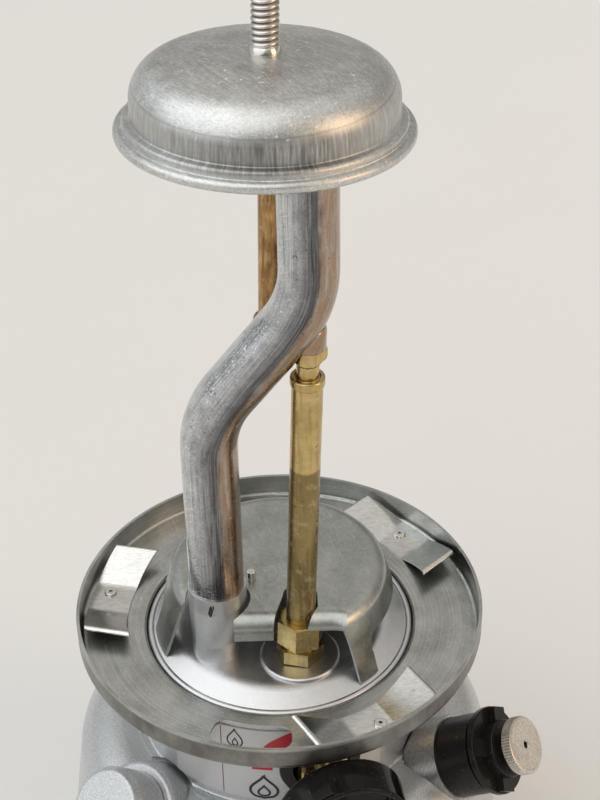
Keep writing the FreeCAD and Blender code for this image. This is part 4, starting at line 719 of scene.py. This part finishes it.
# Bright crests, and dirt and some rust in the grooves
def drawStud(maker):
    spot = maker.spot(tuple(value * mm for value in stud["base"]))
    height = maker.vector("DOT_PRODUCT", spot, stud["axis"], output="Value")
    along = maker.node("ShaderNodeVectorMath", {"operation": "SCALE"},
                       {0: stud["axis"], "Scale": height})
    away = maker.vector("SUBTRACT", spot, along)
    radius = maker.vector("LENGTH", away, output="Value")
    groove = maker.rise(radius, *stud["groove"])
    cloud = maker.noise(spot, *stud["cloud"])
    crest = maker.blend(cloud, *stud["crest"])
    rusty = maker.blend(maker.rise(maker.axes(spot)[0], *stud["rustSide"]),
                        stud["dirt"], stud["rust"])
    return {"Base Color": maker.blend(groove * stud["grooveTone"], crest, rusty),
            "Roughness": (stud["roughness"] + groove * stud["grooveRough"]
                          + (cloud - 0.5) * stud["cloudRough"]),
            "Normal": maker.bump(cloud, stud["bump"])}


studSteel = finish("studSteel", {"Metallic": 1.0}, drawStud)
step = stud["pitch"] / stud["rings"]
start = stud["shoulder"] + stud["threadLow"]
runs = int((stud["top"] - stud["point"] - start) / step)
profile = [(0.0, stud["low"]), (stud["radius"], stud["low"]),
           (stud["radius"], stud["shoulder"] - stud["sink"]),
           (stud["foot"], stud["shoulder"] + stud["footLow"]),
           (stud["foot"], stud["shoulder"] + stud["footHigh"]), (stud["radius"], start)]
profile += [(stud["radius"], start + step * (turn + 1)) for turn in range(runs)]
profile += [(stud["radius"] - stud["point"], stud["top"]), (0.0, stud["top"])]
threaded = ridged(spun("threadedStud", profile, stud["around"]),
                  {"Lines": 1.0, "Pitch": stud["pitch"] * mm, "Low": start * mm,
                   "High": (stud["top"] - stud["endGap"]) * mm, **stud["ridges"]},
                  studSteel, stud["base"], stud["axis"])
piece("studThread", threaded, studSteel, "lantern", ["threaded_stud"])
print("stud:", len(threaded.polygons), "faces")

# The pump's disc, in millimetres, with its ridges in metres. The pairs in edge and groove are
# how far in from the rim and how far below the face
disc = {
    "base": (45.7115, -21.3156, 78.3923), "axis": (0.751363, -0.350366, 0.559193),
    "face": 23.2, "thickness": 2.9, "radius": 7.6, "hub": 4.2, "hubLength": 1.2,
    "vent": 0.9, "ventWide": 0.3, "ventDeep": 0.25, "bore": 2.55, "seat": 21.45,
    "edge": ((0.6, 0.0), (0.15, 0.15)),
    "groove": ((1.0, 0.0), (1.15, 0.12), (1.7, 0.12), (1.85, 0.0)),
    "rimEdge": 0.5, "ringStep": 0.35, "teeth": 62, "toothFaces": 6, "crest": 0.3,
    "ridges": {"Pitch": 1000.0, "Depth": 0.00042, "Wear": 0.00003, "Seed": 5},
}
back = disc["face"] - disc["thickness"]
hubEnd = back - disc["hubLength"]
ringCount = int((disc["thickness"] - 2 * disc["rimEdge"]) / disc["ringStep"]) + 1
profile = [(disc["bore"], hubEnd), (disc["hub"], hubEnd), (disc["hub"], back)]
profile += [(disc["radius"] - inward, back + deep) for inward, deep in disc["edge"]]
profile += [(disc["radius"], back + disc["rimEdge"] + disc["ringStep"] * turn)
            for turn in range(ringCount)]
profile += [(disc["radius"] - inward, disc["face"] - deep)
            for inward, deep in disc["edge"][::-1] + disc["groove"]]
profile += [(disc["vent"] + disc["ventWide"], disc["face"]),
            (disc["vent"], disc["face"] - disc["ventDeep"]), (disc["vent"], disc["seat"]),
            (disc["bore"], disc["seat"]), (disc["bore"], hubEnd)]
knurled = ridged(spun("knurledDisc", profile, disc["teeth"] * disc["toothFaces"]),
                 {"Lines": float(disc["teeth"]), "Reach": (disc["radius"] - disc["crest"]) * mm,
                  "Low": back * mm, "High": disc["face"] * mm, **disc["ridges"]},
                 discSteel, disc["base"], disc["axis"])
piece("knurledDisc", knurled, discSteel, "plunger", ["pump_knob"])
print("disc:", len(knurled.polygons), "faces")

# The bushing where the generator goes into the air tube. Its bead is proud at the back only
bushing = {
    "base": (4.9, -17.0, 115.0), "axis": (0.0359, 0.0, 0.9994), "low": 90.7, "high": 97.4,
    "bore": 2.66, "slim": 2.95, "bead": 4.45, "beadHigh": 95.3, "beadSteps": 5,
    "beadSquare": 4, "proudFrom": 0.3, "proudOver": 0.4, "around": 64,
}
middle = (bushing["low"] + bushing["beadHigh"]) / 2
tall = (bushing["beadHigh"] - bushing["low"]) / 2
beadSteps = bushing["beadSteps"]
profile = [(bushing["bore"], bushing["low"])]
for step in range(2 * beadSteps + 1):
    across = step / beadSteps - 1
    swell = (1 - across ** bushing["beadSquare"]) ** 0.5
    profile.append((bushing["slim"] + (bushing["bead"] - bushing["slim"]) * swell,
                    middle + tall * across))
profile += [(bushing["slim"], bushing["high"]), (bushing["bore"], bushing["high"]),
            (bushing["bore"], bushing["low"])]
bushingMesh = spun("generatorBushing", profile, bushing["around"])
slim = bushing["slim"] * mm
for vertex in bushingMesh.vertices:
    radius = vertex.co.xy.length
    backward = vertex.co.y / radius
    proud = min(max((backward + bushing["proudFrom"]) / bushing["proudOver"], 0.0), 1.0)
    if radius > slim:
        vertex.co.xy *= (slim + (radius - slim) * proud) / radius

# A boss pressed out of the tube closes round it
boss = {
    "radius": 4.08, "low": 94.8, "high": 101.6, "gap": 0.02, "foot": 0.5, "footSteps": 6,
    "dome": 2.0, "domeTurn": 0.138, "domeSteps": 9,
}
profile = [(bushing["slim"] + boss["gap"], boss["low"]),
           (boss["radius"] - boss["foot"], boss["low"])]
for step in range(1, boss["footSteps"] + 1):
    angle = step * math.pi / (2 * boss["footSteps"])
    profile.append((boss["radius"] - boss["foot"] + boss["foot"] * math.sin(angle),
                    boss["low"] + boss["foot"] - boss["foot"] * math.cos(angle)))
for step in range(boss["domeSteps"]):
    angle = step * boss["domeTurn"]
    profile.append((boss["radius"] - boss["dome"] + boss["dome"] * math.cos(angle),
                    boss["high"] - boss["dome"] + boss["dome"] * math.sin(angle)))
profile.append((bushing["slim"] + boss["gap"], boss["low"]))
bossMesh = spun("portBoss", profile, bushing["around"])
for mesh in (bushingMesh, bossMesh):
    stand(mesh, bushing["base"], bushing["axis"])
piece("generatorBushing", bushingMesh, generatorBrass, "lantern", ["generator_bushing"])
piece("portBoss", bossMesh, tubeMetal, "lantern")
print("bushing and boss:", len(bushingMesh.polygons) + len(bossMesh.polygons), "faces")


# A corner on an upright cylinder, from millimetres round it and up it
def corner(form, along, height, radius, centre):
    angle = along / radius
    return form.verts.new(((centre[0] + radius * math.cos(angle)) * mm,
                           (centre[1] + radius * math.sin(angle)) * mm, height * mm))


# A closed line of the given width, laid on the cylinder
def wrapped(name, outline, width, radius, centre=(0.0, 0.0)):
    form = bmesh.new()
    count = len(outline)
    sides = []
    for number, (along, height) in enumerate(outline):
        before = Vector(outline[number - 1])
        after = Vector(outline[(number + 1) % count])
        ahead = (after - before).normalized() * (width / 2)
        sides.append((corner(form, along - ahead.y, height + ahead.x, radius, centre),
                      corner(form, along + ahead.y, height - ahead.x, radius, centre)))
    for (first, second), (third, fourth) in zip(sides, sides[1:] + sides[:1]):
        form.faces.new((first, second, fourth, third))
    bmesh.ops.recalc_face_normals(form, faces=form.faces)
    return meshOf(name, form)


# A filled strip on the cylinder, from columns of (along, low, high)
def filled(name, columns, radius, centre=(0.0, 0.0)):
    form = bmesh.new()
    pairs = [(corner(form, along, low, radius, centre), corner(form, along, high, radius, centre))
             for along, low, high in columns]
    for (first, second), (third, fourth) in zip(pairs, pairs[1:]):
        form.faces.new((first, third, fourth, second))
    return meshOf(name, form)


# Bearings in degrees, and the rest in millimetres
label = {
    "radius": 38.4, "line": -114.3, "lineHalf": 0.12, "low": 83.6, "high": 108.2,
    "dropSteps": 18, "dropFull": 0.6, "dropBlunt": 0.7, "dropSharp": 0.9, "dropLean": 0.06,
    "wedge": -98.2, "wedgeTurn": 0.6, "wedgeSteps": 19, "wedgeLow": 101.6, "wedgeTip": 101.7,
    "wedgeTall": 6.4, "wedgeCurve": 0.6,
    "bar": -102.4, "barTurn": 0.8, "barSteps": 10, "barLow": 94.4, "barHigh": 96.0,
}


def arc(bearing):
    return math.radians(bearing) * label["radius"]


# A drop with its point up, from its foot, at a bearing on the label
def drop(bearing, foot, tall, wide):
    middle = arc(bearing)
    side = []
    for step in range(1, label["dropSteps"]):
        climbed = step / label["dropSteps"]
        sharp = label["dropBlunt"] + label["dropSharp"] * step / label["dropSteps"]
        side.append((wide / 2 * math.sin(math.pi * climbed ** label["dropFull"]) ** sharp,
                     foot + tall * step / label["dropSteps"]))
    return ([(middle, foot)] + [(middle + reach, height) for reach, height in side]
            + [(middle + wide * label["dropLean"], foot + tall)]
            + [(middle - reach, height) for reach, height in side[::-1]])


# Each drop's bearing, foot, height and width, and then the width of its line
flames = {
    "flameSmall": (drop(-108.7, 101.7, 6.3, 4.0), 0.4),
    "flameSmallCore": (drop(-108.6, 102.1, 2.6, 1.4), 0.35),
    "flameLarge": (drop(-98.0, 84.0, 8.4, 7.2), 0.75),
    "flameLargeCore": (drop(-98.0, 84.8, 3.8, 3.0), 0.6),
}
for name, (outline, width) in flames.items():
    flame = wrapped(name, outline, width, label["radius"])
    piece(name, flame, blackInkAndShade, "lantern")

line = [(arc(label["line"]) + away, label["low"], label["high"])
        for away in (-label["lineHalf"], label["lineHalf"])]
wedge = []
for step in range(label["wedgeSteps"] + 1):
    climbed = (step / label["wedgeSteps"]) ** label["wedgeCurve"]
    wedge.append((arc(label["wedge"] + label["wedgeTurn"] * step), label["wedgeLow"],
                  label["wedgeTip"] + label["wedgeTall"] * climbed))
bar = [(arc(label["bar"] + label["barTurn"] * step), label["barLow"], label["barHigh"])
       for step in range(label["barSteps"] + 1)]
for name, columns, colour in (("labelLine", line, inkPurple), ("labelWedge", wedge, inkRed),
                              ("labelBar", bar, inkRed)):
    piece(name, filled(name, columns, label["radius"]), colour, "lantern")

# A dark leaf-shaped mark below the socket's lip, and above it a short line of painted shadow where
# the tube goes into the lip
socket = {
    "radius": 7.4, "centre": (-15.6, -13.6), "bearing": -102.5, "height": 133.4, "tall": 3.8,
    "wide": 1.5, "slant": 0.9, "taper": 1.3, "leafSteps": 12,
    "gapShadow": 0.55, "gapShadowStep": 0.12, "gapShadowLow": 135.0, "gapShadowHigh": 135.4, "gapShadowDrop": 0.5,
    "gapShadowSteps": 3,
}
middle = math.radians(socket["bearing"]) * socket["radius"]
leaf = []
for step in range(socket["leafSteps"] + 1):
    share = step / socket["leafSteps"] - 0.5
    across = share * socket["wide"]
    height = socket["height"] + across * socket["slant"]
    half = socket["tall"] / 2 * math.cos(math.pi * share) ** socket["taper"]
    leaf.append((middle + across, height - half, height + half))
gapShadow = [(middle + socket["gapShadow"] + socket["gapShadowStep"] * step,
         socket["gapShadowLow"] - socket["gapShadowDrop"] * step ** 0.5, socket["gapShadowHigh"])
        for step in range(socket["gapShadowSteps"] + 1)]
for name, columns in (("socketLeaf", leaf), ("socketGapShadow", gapShadow)):
    piece(name, filled(name, columns, socket["radius"], socket["centre"]), blackInkAndShade, "lantern")
print("marks")

# Floor, light and camera
room = {"floor": (0.71, 0.705, 0.69), "paler": 1.03, "cloud": 6.0, "reach": 30.0}


def drawFloor(maker):
    cloud = maker.noise(maker.spot((0.0, 0.0, 0.0)), room["cloud"], 3.0)
    return {"Base Color": maker.blend(cloud, room["floor"],
                                      tuple(value * room["paler"] for value in room["floor"]))}


reach = room["reach"]
floorMesh = bpy.data.meshes.new("floor")
floorMesh.from_pydata([(-reach, -reach, 0.0), (reach, -reach, 0.0), (reach, reach, 0.0),
                       (-reach, reach, 0.0)], [], [(0, 1, 2, 3)])
floorMesh.materials.append(
    finish("floor", {"Roughness": 0.9, "Specular IOR Level": 0.2}, drawFloor))
floor = bpy.data.objects.new("floor", floorMesh)
bpy.context.scene.collection.objects.link(floor)

# The studio's light: even, with more from above and the left, and less from the front
studio = {
    "even": 0.34, "above": 0.55, "left": 0.34, "front": 0.16,
    "aboveFrom": (0.35, 0.95), "leftFrom": (-0.1, -0.85), "leftUp": (-0.2, 0.35),
    "frontFrom": (0.0, -0.9), "frontUp": (0.7, 0.2),
    "warm": (1.0, 0.96, 0.9), "cool": (0.94, 0.98, 1.0),
}
world = bpy.data.worlds.new("studio")
world.use_nodes = True
world.node_tree.nodes.clear()
maker = Maker(world.node_tree)
x, y, z = maker.axes(maker.node("ShaderNodeTexCoord", {}, {}, "Generated"))
above = maker.rise(z, *studio["aboveFrom"])
leftward = maker.rise(x, *studio["leftFrom"]) * maker.rise(z, *studio["leftUp"])
front = maker.rise(y, *studio["frontFrom"]) * maker.rise(z, *studio["frontUp"])
level = (studio["even"] + studio["above"] * above + studio["left"] * leftward
         - studio["front"] * front)
tint = maker.blend(leftward, studio["warm"], studio["cool"])
sky = maker.node("ShaderNodeBackground", {}, {"Color": tint, "Strength": level})
maker.node("ShaderNodeOutputWorld", {}, {"Surface": sky})
bpy.context.scene.world = world


def lamp(name, kind, values):
    data = bpy.data.lights.new(name, kind)
    data.energy = values["power"]
    data.color = values["color"]
    for setting, value in values["shape"].items():
        setattr(data, setting, value)
    made = bpy.data.objects.new(name, data)
    aim = Vector(values["aim"]) - Vector(values["place"])
    made.location = values["place"]
    made.rotation_euler = aim.to_track_quat("-Z", "Y").to_euler()
    bpy.context.scene.collection.objects.link(made)


lamp("key", "SUN", {
    "place": (-1.0, -0.6, 1.3), "aim": (0.0, 0.0, 0.1), "power": 1.25,
    "color": (0.97, 0.985, 1.0), "shape": {"angle": math.radians(90.0)}})
lamp("warmFill", "AREA", {
    "place": (2.4, -1.05, 1.1), "aim": (0.0, 0.0, 0.2), "power": 22.0,
    "color": (1.0, 0.68, 0.42), "shape": {"shape": "RECTANGLE", "size": 1.4, "size_y": 1.6}})

# Angles in degrees, the lens and its sensor in millimetres, and the rest in metres
lens = {
    "place": (0.0001, -0.3449, 0.4312), "pitch": 35.76, "yaw": 1.06, "roll": -1.08,
    "length": 78.75, "sensor": 36.0, "nearest": 0.01,
}
pitch, yaw, roll = (math.radians(lens[name]) for name in ("pitch", "yaw", "roll"))
right = Vector((math.cos(yaw), -math.sin(yaw), 0.0))
ahead = Vector((math.sin(yaw) * math.cos(pitch), math.cos(yaw) * math.cos(pitch),
                -math.sin(pitch)))
upward = right.cross(ahead)
sideways = math.cos(roll) * right + math.sin(roll) * upward
upright = math.cos(roll) * upward - math.sin(roll) * right
turned = Matrix((sideways, upright, -ahead)).transposed()
lensData = bpy.data.cameras.new("camera")
lensData.lens = lens["length"]
lensData.sensor_width = lens["sensor"]
lensData.clip_start = lens["nearest"]
camera = bpy.data.objects.new("camera", lensData)
camera.location = lens["place"]
camera.rotation_euler = turned.to_euler()
bpy.context.scene.collection.objects.link(camera)
bpy.context.scene.camera = camera
bpy.context.scene.view_settings.view_transform = "Standard"
print("room and camera")
